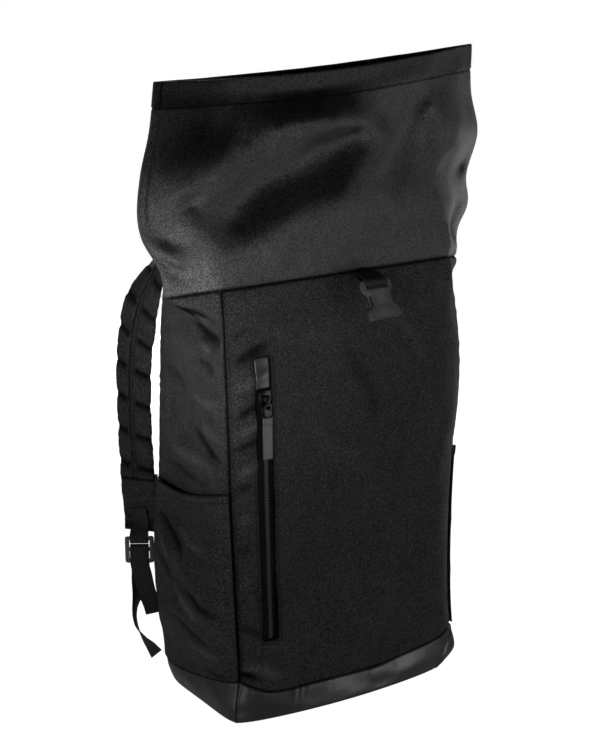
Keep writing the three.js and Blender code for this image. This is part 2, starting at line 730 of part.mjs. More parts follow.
function collarPoint(layer, u, v, depth) {
  const place = collarPlace(layer, u, v);
  const fade = smooth(0, 0.08, v) * smooth(0, 0.07, 1 - v) * smooth(0, 0.03, u) * smooth(0, 0.03, 1 - u);
  let relief = 0;
  if (layer === "front") {
    relief = foldRelief(COLLAR_FOLDS, u, v, collarWidth, collarHeight);
  } else {
    relief = 0.6 * foldRelief(COLLAR_FOLDS, 1 - u, v, collarWidth, collarHeight);
  }
  return place.addScaledVector(collarOut(layer, u, v), fade * relief - depth);
}

// The hem is folded over, so it is thicker than the cloth below it.
function collarLayer(layer, columns) {
  const hem = 1 - hemHeight / collarHeight;
  const rows = [0, 0.05, 0.11, 0.18, 0.26, 0.34, 0.42, 0.5, 0.58, 0.66, 0.74, 0.82, hem - 0.005, hem + 0.005, 1];
  const step = (v) => (v > hem ? hemStep : 0);
  const outer = (u, v) => collarPoint(layer, u, v, -step(v));
  const inner = (u, v) => collarPoint(layer, u, v, collarThickness + step(v));
  return sheetSolid(columns, rows, outer, inner);
}

// Side pocket, sewn on at its sides and bottom, with an elastic hem on top.
const POCKET_TOP = [
  { fromBack: 0, z: 0.516 },
  { fromBack: 0.5, z: 0.512 },
  { fromBack: 1, z: 0.545 },
];

function sidePocket(side) {
  const fromBack = (along) => (side === "left" ? along : 1 - along);
  const top = (along) => bodyHeight * read(POCKET_TOP, "fromBack", "z", fromBack(along));
  const hem = 0.93;
  const place = (layer) => (along, up) => {
    const share = (along - 0.02) / 0.96;
    const z = mix(bandTop(side, along) + pieceGap, top(along), up);
    const swell = (1 - Math.abs(2 * share - 1) ** 3) * mix(0.35, 1, smooth(0, 0.4, up));
    const taper = mix(1, 0.78, smooth(0.6, 1, up));
    const back = panelPlace(side, along, z).y / halfDepth;
    const relief = foldRelief(POCKET_FOLDS, back, z / bodyHeight, halfDepth, bodyHeight);
    const folds = relief * swell * smooth(0, 0.15, 1 - up);
    const stand = 0.9 + pieceGap + pocketDepth * swell * taper + Math.max(folds, -pocketDepth * 0.45 * swell);
    const thick = up > hem ? clothThickness + 0.8 : clothThickness;
    return panelPoint(side, along, z, stand + (layer === 0 ? thick : 0));
  };
  const inner = (side === "left" ? sideColumns : rightColumns).slice(1, -1);
  const ups = [0, 0.14, 0.28, 0.42, 0.56, 0.7, 0.83, hem - 0.01, hem + 0.01, 1];
  return sheetSolid([0.02, ...inner, 0.98], ups, place(0), place(1));
}

// Base: a tray of faux leather whose wall runs up to the band's top edge.
function baseBoot() {
  const feet = frontColumns.map(frontFoot);
  const steps = { front: feet, right: rightColumns, back: backColumns, left: sideColumns };
  const ring = [];
  for (const side of Object.keys(steps)) {
    for (const along of steps[side].slice(0, -1)) {
      ring.push({ side, along });
    }
  }
  const edgeRadius = 5;
  const rows = [
    { z: () => 0, inset: edgeRadius },
    { z: () => edgeRadius * 0.3, inset: edgeRadius * 0.28 },
    { z: () => edgeRadius, inset: 0 },
    { z: (top) => mix(edgeRadius, top, 0.55), inset: 0 },
    { z: (top) => top, inset: 0 },
    { z: (top) => top, inset: baseThickness },
    { z: (top) => mix(edgeRadius, top, 0.55), inset: baseThickness },
    { z: () => edgeRadius + baseThickness, inset: baseThickness },
    { z: () => baseThickness, inset: edgeRadius + baseThickness * 0.7 },
  ];
  const points = [new THREE.Vector3(0, 0, 0)];
  for (const row of rows) {
    for (const { side, along } of ring) {
      const z = row.z(bandTop(side, along) - pieceGap / 2);
      const place = panelPlace(side, along, z);
      const { out, stretch } = mitreOut(side, along, z);
      points.push(
        new THREE.Vector3(place.x - out.x * row.inset * stretch, place.y - out.y * row.inset * stretch, z)
      );
    }
  }
  points.push(new THREE.Vector3(0, 0, baseThickness));
  const count = ring.length;
  const lastPoint = points.length - 1;
  const lastRow = 1 + (rows.length - 1) * count;
  const faces = [];
  for (let i = 0; i < count; i += 1) {
    const next = (i + 1) % count;
    faces.push([0, 1 + next, 1 + i], [lastPoint, lastRow + i, lastRow + next]);
    for (let k = 0; k < rows.length - 1; k += 1) {
      const a = 1 + k * count + i;
      const b = 1 + k * count + next;
      faces.push([a, b, b + count], [a, b + count, a + count]);
    }
  }
  return closedGeometry(points, faces);
}

// Stations of a band from table rows, on a smooth curve through them.
function runStations(rows, count, width, thick) {
  const places = new THREE.CatmullRomCurve3(rows.map((row) => row.at), false, "centripetal");
  const acrosses = new THREE.CatmullRomCurve3(rows.map((row) => row.across), false, "centripetal");
  const last = rows.length - 1;
  return evenly(count).map((t) => {
    const at = places.getPoint(t);
    const tangent = places.getTangent(t);
    const across = acrosses.getPoint(t).normalize();
    across.addScaledVector(tangent, -across.dot(tangent)).normalize();
    const out = new THREE.Vector3().crossVectors(across, tangent).normalize();
    const k = Math.min(Math.floor(t * last), last - 1);
    const share = t * last - k;
    const widthAt = width * mix(rows[k].width ?? 1, rows[k + 1].width ?? 1, share);
    const thickAt = thick * mix(rows[k].thick ?? 1, rows[k + 1].thick ?? 1, share);
    return { at, across, out, width: widthAt, thick: thickAt };
  });
}

function backFace(x, z) {
  const a = cornerSeam("backRight", z).x;
  const b = cornerSeam("backLeft", z).x;
  return panelPlace("back", (x - a) / (b - a), z).y;
}

function strapRows() {
  return STRAP.map((row) => {
    const x = row.x * halfWidth;
    const z = row.z * bodyHeight;
    const clear = (row.thick * strapPadding) / 2 + 5 * pieceGap;
    const reach = strapWidth / 2;
    const face = Math.max(backFace(x - reach, z), backFace(x, z), backFace(x + reach, z));
    const onBack = z < bodyHeight ? face + clear : -Infinity;
    const hangs = row.ay > 0.5;
    const y = hangs ? halfDepth + row.y : Math.max(halfDepth * 0.74 + row.y, onBack);
    return {
      at: new THREE.Vector3(x, y, z),
      across: direction(row.ax, row.ay, row.az),
      width: row.width,
      thick: row.thick,
    };
  });
}

function shoulderStrap() {
  return bandSolid(runStations(strapRows(), strapSteps, strapWidth, strapPadding), PAD_SECTION);
}

// A place in the ladder lock's own frame: up its height, and out of its face.
function lockPoint(up, out) {
  return new THREE.Vector3(lockPlace.x, lockPlace.y, lockPlace.z + up).addScaledVector(lockFace, out);
}

// Half circle of webbing around a bar, from its back to its front, in the lock's frame.
function barTurn(middle, radius, way) {
  return [-1, -0.7, 0, 0.7, 1].map((out) => {
    return [middle + way * Math.sqrt(Math.max(1 - out * out, 0)) * radius, out * radius];
  });
}

function strapTab() {
  const bar = lockHeight / 2 - lockBar / 2;
  const radius = Math.hypot(lockBar, lockThickness) / 2 + webbingThickness / 2 + 0.1;
  const inLock = [[bar + 2.5, -radius], ...barTurn(bar, radius, -1), [bar + 3, radius]];
  const rows = inLock.map(([up, out]) => ({ at: lockPoint(up, out), across: lockAcross.clone().negate() }));
  const strap = runStations(strapRows(), strapSteps, strapWidth, strapPadding);
  for (const k of [1, 2, 3, 4]) {
    const s = strap[strapSteps - k];
    const step = s.thick / 2 + 3 * pieceGap + webbingThickness / 2;
    rows.push({ at: s.at.clone().addScaledVector(s.out, step), across: s.across.clone() });
  }
  return bandSolid(runStations(rows, 33, webbingWidth, webbingThickness), FLAT_SECTION);
}

function ladderLock() {
  const halfW = lockWidth / 2;
  const halfH = lockHeight / 2;
  const corner = 3;
  const outline = new THREE.Shape();
  outline.moveTo(-halfW + corner, -halfH);
  outline.lineTo(halfW - corner, -halfH);
  outline.quadraticCurveTo(halfW, -halfH, halfW, -halfH + corner);
  outline.lineTo(halfW, halfH - corner);
  outline.quadraticCurveTo(halfW, halfH, halfW - corner, halfH);
  outline.lineTo(-halfW + corner, halfH);
  outline.quadraticCurveTo(-halfW, halfH, -halfW, halfH - corner);
  outline.lineTo(-halfW, -halfH + corner);
  outline.quadraticCurveTo(-halfW, -halfH, -halfW + corner, -halfH);
  const slotHalf = webbingWidth / 2 + 0.8;
  for (const way of [-1, 1]) {
    const low = lockMiddleBar / 2;
    const high = halfH - lockBar;
    const slot = new THREE.Path();
    slot.moveTo(-slotHalf, way * low);
    slot.lineTo(slotHalf, way * low);
    slot.lineTo(slotHalf, way * high);
    slot.lineTo(-slotHalf, way * high);
    slot.closePath();
    outline.holes.push(slot);
  }
  const geometry = new THREE.ExtrudeGeometry(outline, {
    depth: lockThickness - 1,
    bevelEnabled: true,
    bevelThickness: 0.5,
    bevelSize: 0.4,
    bevelOffset: -0.4,
    bevelSegments: 1,
    curveSegments: 3,
  });
  geometry.translate(0, 0, -(lockThickness - 1) / 2);
  return tidy(geometry);
}

function adjusterWebbing() {
  const radius = Math.hypot(lockThickness, lockMiddleBar) / 2 + webbingThickness / 2 + 0.1;
  const rows = LOAD_RUN.map((row) => ({
    at: new THREE.Vector3(row.x * halfWidth, halfDepth + row.y, row.z),
    across: direction(row.ax, row.ay, row.az),
  }));
  const inLock = [[-lockHeight / 2, -radius], ...barTurn(0, radius, 1), [-lockHeight / 2, radius]];
  for (const [up, out] of inLock) {
    rows.push({ at: lockPoint(up, out), across: lockAcross.clone() });
  }
  for (const row of TAIL_RUN) {
    rows.push({
      at: new THREE.Vector3(row.x * halfWidth, halfDepth + row.y, row.z),
      across: direction(row.ax, row.ay, row.az),
    });
  }
  return bandSolid(runStations(rows, 64, webbingWidth, webbingThickness), FLAT_SECTION);
}

// Merged closed geometry with positions only.
function tidy(geometry) {
  geometry.deleteAttribute("normal");
  geometry.deleteAttribute("uv");
  const merged = mergeVertices(geometry, 1e-4);
  merged.computeVertexNormals();
  return merged;
}

function toSolid(geometry) {
  const clean = tidy(geometry.clone());
  clean.deleteAttribute("normal");
  const mesh = new wasm.Mesh({
    numProp: 3,
    vertProperties: new Float32Array(clean.attributes.position.array),
    triVerts: new Uint32Array(clean.index.array),
  });
  return new wasm.Manifold(mesh);
}

function fromSolid(solid) {
  const mesh = solid.getMesh();
  const geometry = new THREE.BufferGeometry();
  geometry.setAttribute("position", new THREE.Float32BufferAttribute(mesh.vertProperties, 3));
  geometry.setIndex(Array.from(mesh.triVerts));
  geometry.computeVertexNormals();
  return geometry;
}

function box(x0, x1, y0, y1, z0, z1) {
  const geometry = new THREE.BoxGeometry(x1 - x0, y1 - y0, z1 - z0);
  geometry.translate((x0 + x1) / 2, (y0 + y1) / 2, (z0 + z1) / 2);
  return toSolid(geometry);
}

// Buckle socket in its own frame: its length runs down -Y from the bar, and its face looks up +Z.
function buckleShape(rows) {
  const shape = new THREE.Shape();
  const right = rows.map((row) => [row.w, -row.l * buckleLength]);
  const left = rows.map((row) => [-row.w, -row.l * buckleLength]).reverse();
  const points = [...right, ...left];
  shape.moveTo(...points[0]);
  for (const point of points.slice(1)) {
    shape.lineTo(...point);
  }
  shape.closePath();
  return shape;
}

function buckleSocket() {
  const slab = (shape, thickness) => {
    const geometry = new THREE.ExtrudeGeometry(shape, {
      depth: thickness - 1,
      bevelEnabled: true,
      bevelThickness: 0.5,
      bevelSize: 0.5,
      bevelOffset: -0.5,
      bevelSegments: 1,
    });
    geometry.translate(0, 0, -(thickness - 1) / 2);
    return toSolid(geometry);
  };
  const frame = slab(buckleShape(BUCKLE_OUTLINE), buckleFrameThickness);
  const bodyRows = BUCKLE_OUTLINE.filter((row) => row.l >= buckleBodyStart);
  const body = slab(buckleShape(bodyRows), buckleThickness);
  const slotHalf = buckleWebbingWidth / 2 + 0.9;
  const high = buckleThickness;
  const slot = box(-slotHalf, slotHalf, -buckleSlotEnd, -buckleSlotStart, -high, high);
  const mouthTop = -buckleLength + mouthDepth;
  const mouth = box(
    -mouthHalfWidth,
    mouthHalfWidth,
    -buckleLength - 2,
    mouthTop,
    -mouthHalfHeight,
    mouthHalfHeight
  );
  return fromSolid(frame.add(body).subtract(slot).subtract(mouth));
}

// The buckle hangs off the front panel on its webbing, with its mouth tilted forwards.
const buckleX = 0.186 * halfWidth;
const buckleStandOff = 20;

function buckleAnchor() {
  const face = panelPoint("front", frontAlong(buckleX, bodyHeight), bodyHeight, 0);
  return new THREE.Vector3(buckleX, face.y, bodyHeight - 1.5);
}

function buckleTop() {
  return buckleAnchor().add(new THREE.Vector3(0, -buckleStandOff, -4.5));
}

function buckleWebbing() {
  const anchor = buckleAnchor();
  const turn = radians(buckleTilt);
  const barDepth = buckleSlotStart / 2;
  const bar = buckleTop().add(
    new THREE.Vector3(0, -Math.sin(turn) * barDepth, -Math.cos(turn) * barDepth)
  );
  const barHalf = Math.hypot(buckleSlotStart, buckleFrameThickness) / 2;
  const radius = barHalf + pieceGap + webbingThickness / 2;
  const across = direction(1, 0, 0);
  const rows = [
    { at: new THREE.Vector3(anchor.x, anchor.y - 0.6, anchor.z - 0.3), across },
    { at: new THREE.Vector3(anchor.x, mix(anchor.y, bar.y, 0.4), anchor.z + 0.5), across },
  ];
  for (const angle of [100, 70, 35, 0, -35, -70, -100, -130]) {
    const a = radians(angle);
    const at = new THREE.Vector3(bar.x, bar.y - Math.cos(a) * radius, bar.z + Math.sin(a) * radius);
    rows.push({ at, across });
  }
  rows.push({
    at: new THREE.Vector3(anchor.x, mix(anchor.y, bar.y, 0.4), anchor.z - 3.2),
    across,
  });
  rows.push({ at: new THREE.Vector3(anchor.x, anchor.y - 0.6, anchor.z - 2.6), across });
  return bandSolid(runStations(rows, 36, buckleWebbingWidth, webbingThickness), FLAT_SECTION);
}

// Zip slider and puller in their own frame: x across the zip, z up it, y out of it when negative.
const sliderLength = 17;
const sliderWidth = 13.4;
const sliderThickness = 2.2;
const bailHeight = 2.9;
const bailRadius = 1;
const eyeRadius = 2.5;
const eyeWidth = 3;

function prism(points, depth) {
  const shape = new THREE.Shape(points.map(([a, b]) => new THREE.Vector2(a, b)));
  return new THREE.ExtrudeGeometry(shape, { depth, bevelEnabled: false });
}

// A round bar along X through a place.
function roundBar(radius, x0, x1, y, z) {
  const geometry = new THREE.CylinderGeometry(radius, radius, x1 - x0, 14);
  geometry.rotateZ(Math.PI / 2);
  geometry.translate((x0 + x1) / 2, y, z);
  return toSolid(geometry);
}

function zipSlider() {
  const half = sliderWidth / 2;
  const long = sliderLength;
  const outline = [
    [-half, -1], [-half * 0.85, 2], [half * 0.85, 2], [half, -1], [half, -long * 0.5],
    [half * 0.72, -long * 0.85], [half * 0.4, -long + 1], [-half * 0.4, -long + 1],
    [-half * 0.72, -long * 0.85], [-half, -long * 0.5],
  ];
  const plate = prism(outline.reverse(), sliderThickness);
  plate.rotateX(Math.PI / 2);
  const plateSolid = toSolid(plate).add(
    box(-half * 0.7, half * 0.7, -sliderThickness + 0.2, 0, -long * 0.6, 1)
  );
  const out = -sliderThickness - bailHeight;
  const inner = eyeWidth / 2 + 0.5;
  const cheek = (x0, x1) => box(x0, x1, out - bailRadius, -sliderThickness + 0.3, -8, -4);
  const bar = roundBar(bailRadius, -inner - 1.4, inner + 1.4, out, -6);
  const solid = plateSolid.add(cheek(-inner - 1.4, -inner)).add(cheek(inner, inner + 1.4)).add(bar);
  return fromSolid(solid);
}

// The puller's eye turns on the slider's bar. Its origin is the middle of the eye.
function zipPuller() {
  const eye = roundBar(eyeRadius, -eyeWidth / 2, eyeWidth / 2, 0, 0);
  const hole = roundBar(bailRadius + 0.4, -eyeWidth, eyeWidth, 0, 0);
  const neck = box(-eyeWidth / 2, eyeWidth / 2, -1, 1, -7, -1.6);
  const linkStart = -6;
  const linkEnd = -19;
  const linkHalf = pullerWidth / 2 - 0.9;
  const link = box(-linkHalf, linkHalf, -1, 1, linkEnd - 1, linkStart);
  const slot = box(-linkHalf + 2, linkHalf - 2, -2, 2, linkStart - 5, linkStart - 2);
  const half = pullerWidth / 2;
  const low = linkEnd - pullerLength;
  const outline = [
    [-half + 0.6, linkEnd], [half - 0.6, linkEnd], [half, linkEnd - 0.6], [half, low + 1.5],
    [half - 0.5, low + 0.4], [half - 1.5, low], [-half + 1.5, low], [-half + 0.5, low + 0.4],
    [-half, low + 1.5], [-half, linkEnd - 0.6],
  ];
  const bar = prism(outline.reverse(), 2.4);
  bar.rotateX(Math.PI / 2);
  bar.translate(0, 1.2, 0);
  return fromSolid(eye.add(neck).add(link.subtract(slot)).add(toSolid(bar)).subtract(hole));
}

// Colours and finishes.
const LOOKS = {
  cloth: new THREE.MeshStandardMaterial({ color: 0x26272a, roughness: 0.9, metalness: 0 }),
  collar: new THREE.MeshStandardMaterial({ color: 0x232427, roughness: 0.62, metalness: 0 }),
  leather: new THREE.MeshStandardMaterial({ color: 0x2b2c2e, roughness: 0.5, metalness: 0 }),
  webbing: new THREE.MeshStandardMaterial({ color: 0x222326, roughness: 0.85, metalness: 0 }),
  plastic: new THREE.MeshStandardMaterial({ color: 0x2f3033, roughness: 0.45, metalness: 0 }),
  teeth: new THREE.MeshStandardMaterial({ color: 0x3a3b3e, roughness: 0.4, metalness: 0 }),
  enamel: new THREE.MeshStandardMaterial({ color: 0x111214, roughness: 0.2, metalness: 0.6 }),
};

const group = new THREE.Group();

function addPiece(name, geometry, look, parent = group) {
  const mesh = new THREE.Mesh(geometry, LOOKS[look].clone());
  mesh.name = name;
  parent.add(mesh);
  return mesh;
}

addPiece("base_boot", baseBoot(), "leather");
addPiece("front_panel", frontPanel(), "cloth");

const sideRows = [0, 0.12, 0.25, 0.38, 0.5, 0.62, 0.72, 0.8, 0.86, 0.905, 0.935, 0.96, 0.98, 1];
const evenCloth = () => clothThickness;
addPiece("side_panel_left", bodyPanel("left", sideColumns, sideRows, evenCloth), "cloth");
addPiece("side_panel_right", bodyPanel("right", rightColumns, sideRows, evenCloth), "cloth");

// The back panel is padded except along its seams.
const padding = (along, up) => {
  const inset = smooth(0.03, 0.14, along) * smooth(0.03, 0.14, 1 - along) * smooth(0, 0.08, up) * smooth(0, 0.08, 1 - up);
  return mix(clothThickness, backPadding, inset);
};
addPiece("back_panel", bodyPanel("back", backColumns, sideRows, padding), "cloth");

const collarColumns = [
  0, 0.03, 0.065, 0.11, 0.16, 0.21, 0.26, 0.31, 0.36, 0.42, 0.48, 0.54, 0.6, 0.66, 0.72, 0.77, 0.81, 0.85,
  0.89, 0.935, 0.97, 1,
];
const collarBackColumns = [0, 0.04, 0.1, 0.2, 0.3, 0.4, 0.5, 0.6, 0.7, 0.8, 0.9, 0.96, 1];
addPiece("collar_front", collarLayer("front", collarColumns), "collar");
addPiece("collar_back", collarLayer("back", collarBackColumns), "collar");

addPiece("side_pocket_left", sidePocket("left"), "cloth");
addPiece("side_pocket_right", sidePocket("right"), "cloth");

// The zip's tape lies behind the window and its chain in it, with a patch over the window's top.
const { top: zipTop, bottom: zipBottom } = zipHeights();
const tapeDepth = clothThickness + 2 * pieceGap;
const tapeEdge = 4 / zipWidth;
const zipEnd = zipTop - zipPatchHeight;
const edge = pieceGap / zipWidth;
const chainFrom = 0.35;
const chainTo = chainFrom + chainWidth / zipWidth;
const chainDepth = tapeDepth - 1.5 * pieceGap - 1.3;
addPiece("zip_tape", zipStrip(zipBottom - 4, zipTop + 4, -tapeEdge, 1 + tapeEdge, tapeDepth, tapeThickness), "webbing");
addPiece("zip_chain", zipStrip(zipBottom + 2, zipEnd - 3, chainFrom, chainTo, chainDepth, 1.3), "teeth");
addPiece("zip_patch", zipStrip(zipEnd, zipTop - pieceGap, edge, 1 - edge, 0.2, 1.2), "leather");

const sliderTop = zipEnd - 3;
const chainX = zipLeft(sliderTop) + zipWidth * ((chainFrom + chainTo) / 2);
const sliderFace = panelPoint("front", frontAlong(chainX, sliderTop), sliderTop, 0).y;
const slider = addPiece("zip_slider", zipSlider(), "enamel");
slider.position.set(chainX, sliderFace - 0.9, sliderTop);
const puller = addPiece("zip_puller", zipPuller(), "enamel");
puller.position.set(chainX, sliderFace - 0.9 - sliderThickness - bailHeight, sliderTop - 6);

addPiece("buckle_webbing", buckleWebbing(), "webbing");
const buckle = addPiece("buckle_socket", buckleSocket(), "plastic");
buckle.position.copy(buckleTop());
buckle.rotation.set(radians(90 - buckleTilt), 0, 0);

const strap = shoulderStrap();
addPiece("shoulder_strap_left", strap, "cloth");
addPiece("shoulder_strap_right", mirrored(strap), "cloth");
const tab = strapTab();
addPiece("strap_tab_left", tab, "webbing");
addPiece("strap_tab_right", mirrored(tab), "webbing");
const adjuster = adjusterWebbing();
addPiece("adjuster_webbing_left", adjuster, "webbing");
addPiece("adjuster_webbing_right", mirrored(adjuster), "webbing");

for (const way of [-1, 1]) {
  const lock = addPiece(way < 0 ? "ladder_lock_left" : "ladder_lock_right", ladderLock(), "plastic");
  lock.position.set(way < 0 ? lockPlace.x : -lockPlace.x, lockPlace.y, lockPlace.z);
  lock.rotation.set(Math.PI / 2, 0, radians(way < 0 ? -lockTurn : lockTurn), "ZYX");
}

export default group;
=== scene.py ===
import math

import bmesh
import bpy
import numpy as np
from mathutils import Matrix, Vector


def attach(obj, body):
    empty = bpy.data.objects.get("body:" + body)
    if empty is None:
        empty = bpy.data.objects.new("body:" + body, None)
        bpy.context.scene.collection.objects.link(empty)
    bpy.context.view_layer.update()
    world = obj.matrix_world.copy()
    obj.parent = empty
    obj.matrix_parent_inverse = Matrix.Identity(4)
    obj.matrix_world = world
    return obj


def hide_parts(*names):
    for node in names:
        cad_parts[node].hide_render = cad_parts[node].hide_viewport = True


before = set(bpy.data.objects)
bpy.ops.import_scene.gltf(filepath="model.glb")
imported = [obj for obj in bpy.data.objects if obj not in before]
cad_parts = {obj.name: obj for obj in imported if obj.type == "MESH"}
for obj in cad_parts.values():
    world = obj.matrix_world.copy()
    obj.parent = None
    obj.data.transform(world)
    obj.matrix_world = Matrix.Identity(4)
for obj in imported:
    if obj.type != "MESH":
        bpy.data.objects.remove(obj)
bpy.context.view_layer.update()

MM = 0.001

# Sizes of the bag.
BODY_WIDTH = 280
BODY_DEPTH = 136
BODY_HEIGHT = 455
COLLAR_HEIGHT = 202
COLLAR_WIDTH = 372
RIM_TILT = 12
CLOTH = 1.6
COLLAR_CLOTH = 1.3
HEM_HEIGHT = 24
HEM_LINE = COLLAR_HEIGHT - HEM_HEIGHT
HEM_STEP = 0.4
BASE_THICKNESS = 2
BASE_EDGE = 5
BACK_PADDING = 9
POCKET_DEPTH = 12
POCKET_HEM = 9.5
FOOT_ROUND = 3.6
TAPE_EDGE = 4
GAP = 0.3

# Sizes of the zip.
ZIP_TOP_PLACE = -0.773
ZIP_BOTTOM_PLACE = -0.735
ZIP_WIDTH = 16.6
ZIP_TOP = 0.844 * BODY_HEIGHT
ZIP_BOTTOM = 0.189 * BODY_HEIGHT
ZIP_CORNER = 3.2
PATCH_HEIGHT = 31.5
CHAIN_FROM = 0.35
CHAIN_WIDTH = 7
TOOTH_PITCH = 2.7

# Sizes of the straps and of their hard parts.
STRAP_WIDTH = 55
STRAP_PADDING = 9
WEBBING_WIDTH = 20
WEBBING = 1.4
LOCK_WIDTH = 31
LOCK_HEIGHT = 30
LOCK_THICKNESS = 4
LOCK_BAR = 4
LOCK_MIDDLE_BAR = 3
LOCK_SLACK = 2
BUCKLE_WEBBING_WIDTH = 25
BUCKLE_LENGTH = 41
BUCKLE_THICKNESS = 8.5
BUCKLE_FRAME_THICKNESS = 4
BUCKLE_TILT = math.radians(31)

HALF_WIDTH = BODY_WIDTH / 2
HALF_DEPTH = BODY_DEPTH / 2


def table(names, *rows):
    """Rows as a dictionary of columns."""
    columns = zip(*rows)
    return {name: np.array(column, float) for name, column in zip(names.split(), columns)}


# Upright corner seams of the body: height is a share of BODY_HEIGHT, x of HALF_WIDTH, y of HALF_DEPTH.
# round is how far the cloth stands off the straight line between two seams, in millimetres.
BODY_SECTIONS = table(
    "height frontLeft frontRight front backLeft back round",
    (0.0, 0.95, 0.95, 0.99, 0.89, 1.03, 5),
    (0.04, 0.945, 1.085, 0.985, 0.94, 1.04, 6),
    (0.1, 0.912, 1.045, 0.97, 0.95, 1.05, 6.5),
    (0.22, 0.922, 1.018, 0.97, 0.975, 1.1, 8),
    (0.36, 0.94, 1.02, 0.97, 0.985, 1.1, 8),
    (0.53, 0.96, 1.05, 0.97, 0.98, 1.03, 8),
    (0.66, 0.966, 1.106, 0.97, 0.975, 0.98, 8),
    (0.77, 0.976, 1.115, 0.97, 0.975, 0.94, 7.5),
    (0.88, 0.986, 1.075, 0.97, 0.975, 0.88, 6),
    (0.95, 0.992, 1.03, 0.97, 0.975, 0.8, 4),
    (1.0, 0.998, 0.992, 0.975, 0.98, 0.74, 2),
)
BELLY = table(
    "height front left right back",
    (0.0, 13, -1, 4, 3),
    (0.1, 8, -2, 3, 3),
    (0.3, 3, -1, 1, 4),
    (0.6, 4, -2, -4, 5),
    (0.85, 2.5, -4, -4, 4),
    (1.0, 0, 0, 0, 2),
)
SIDE_FOLD = table(
    "drop left right",
    (0.0, 41, 34),
    (0.022, 32, 37),
    (0.044, 16, 23),
    (0.066, 1, 8),
    (0.09, -5, -1),
    (0.15, -2, -1),
    (0.25, 0, 0),
    (1.0, 0, 0),
)
FOLD_PLACE = 0.3
FOLD_DROP = 9

# Top edge of the base, in millimetres above the floor, by the share along each side.
BAND_TOP = {
    "front": table("along z", (0, 44), (0.12, 29), (0.3, 28), (0.6, 28), (0.75, 32), (0.92, 37), (1, 46)),
    "right": table("along z", (0, 46), (0.2, 38), (0.7, 34), (1, 36)),
    "back": table("along z", (0, 36), (0.3, 33), (0.7, 33), (1, 34)),
    "left": table("along z", (0, 34), (0.3, 30.5), (0.7, 37), (1, 44)),
}

# Seam up the base's front right corner, by how far it stays from the corner.
CORNER_SEAM = table("z inset", (0, 14), (14, 22), (24, 18), (34, 8), (46, 2))

# Collar above the seam: half widths as shares of half of COLLAR_WIDTH, depth of its side edges, and
# how far and how squarely its front and back layers curve away from that line.
COLLAR_SECTIONS = table(
    "v left right y bow bowBack power",
    (0.0, 0.985, 0.955, -31, 36, 74, 7),
    (0.1, 1.01, 0.945, -30, 35, 70, 6),
    (0.22, 1.068, 1.035, -28, 34, 62, 5),
    (0.38, 1.112, 1.022, -27, 31, 50, 4),
    (0.58, 1.092, 1.095, -28, 27, 37, 3.2),
    (0.78, 1.035, 1.04, -29, 22, 25, 2.6),
    (1.0, 1.003, 1.035, -30, 17, 14, 2.2),
)
RIM_LIFT = table("u z", (0, 0), (0.17, -0.12), (0.5, -0.02), (0.81, 0.5), (1, 1))
POCKET_TOP = table("fromBack z", (0, 0.516), (0.5, 0.512), (1, 0.545))

# Soft folds: depth in millimetres, outwards when positive, width, and a path of points. On the front
# the points are shares of HALF_WIDTH and BODY_HEIGHT, on the sides of HALF_DEPTH and BODY_HEIGHT, on
# the collar of its width and height.
FRONT_FOLDS = [
    (-3, 9, [(-0.879, 0.101), (-0.821, 0.141), (-0.757, 0.176)]),
    (3, 15, [(-0.743, 0.079), (-0.443, 0.101)]),
    (-2.5, 9, [(-0.471, 0.066), (-0.357, 0.136), (-0.214, 0.185)]),
    (3.5, 12, [(0.971, 0.114), (0.986, 0.163)]),
    (-2, 14, [(0.429, 0.967), (0.686, 0.835), (0.857, 0.725)]),
    (-2.5, 16, [(-0.429, 0.549), (-0.143, 0.418), (0.143, 0.352)]),
]
SIDE_FOLDS = [
    (-5, 10, [(-0.824, 0.914), (-0.441, 0.932), (0.441, 0.941)]),
    (-4, 14, [(-0.882, 0.879), (-0.618, 0.897)]),
    (3, 12, [(-0.588, 0.853), (0.294, 0.87)]),
    (-3, 12, [(-0.5, 0.602), (0.294, 0.659)]),
    (-3, 13, [(0.632, 0.495), (0, 0.451), (-0.735, 0.389)]),
]
COLLAR_FOLDS = [
    (-8, 15, [(0.0, 0.42), (0.09, 0.5), (0.21, 0.62), (0.36, 0.75)]),
    (7, 17, [(0.26, 0.26), (0.31, 0.46), (0.41, 0.63), (0.65, 0.69)]),
    (-6, 14, [(0.26, 0.26), (0.4, 0.3), (0.52, 0.37), (0.71, 0.37), (0.76, 0.42)]),
    (-5, 9, [(0.87, 0.75), (0.81, 0.62), (0.77, 0.44)]),
    (5, 13, [(0.06, 0.46), (0.13, 0.3), (0.2, 0.14)]),
    (-5, 12, [(0.0, 0.2), (0.06, 0.1), (0.1, 0.03)]),
    (-6, 12, [(1.0, 0.4), (0.9, 0.36), (0.84, 0.3)]),
]
POCKET_FOLDS = [
    (-3.5, 10, [(0.632, 0.495), (0, 0.431), (-0.706, 0.369)]),
    (3, 11, [(0.588, 0.418), (0, 0.352), (-0.588, 0.286)]),
    (-3, 10, [(0.735, 0.308), (0, 0.246), (-0.735, 0.198)]),
]

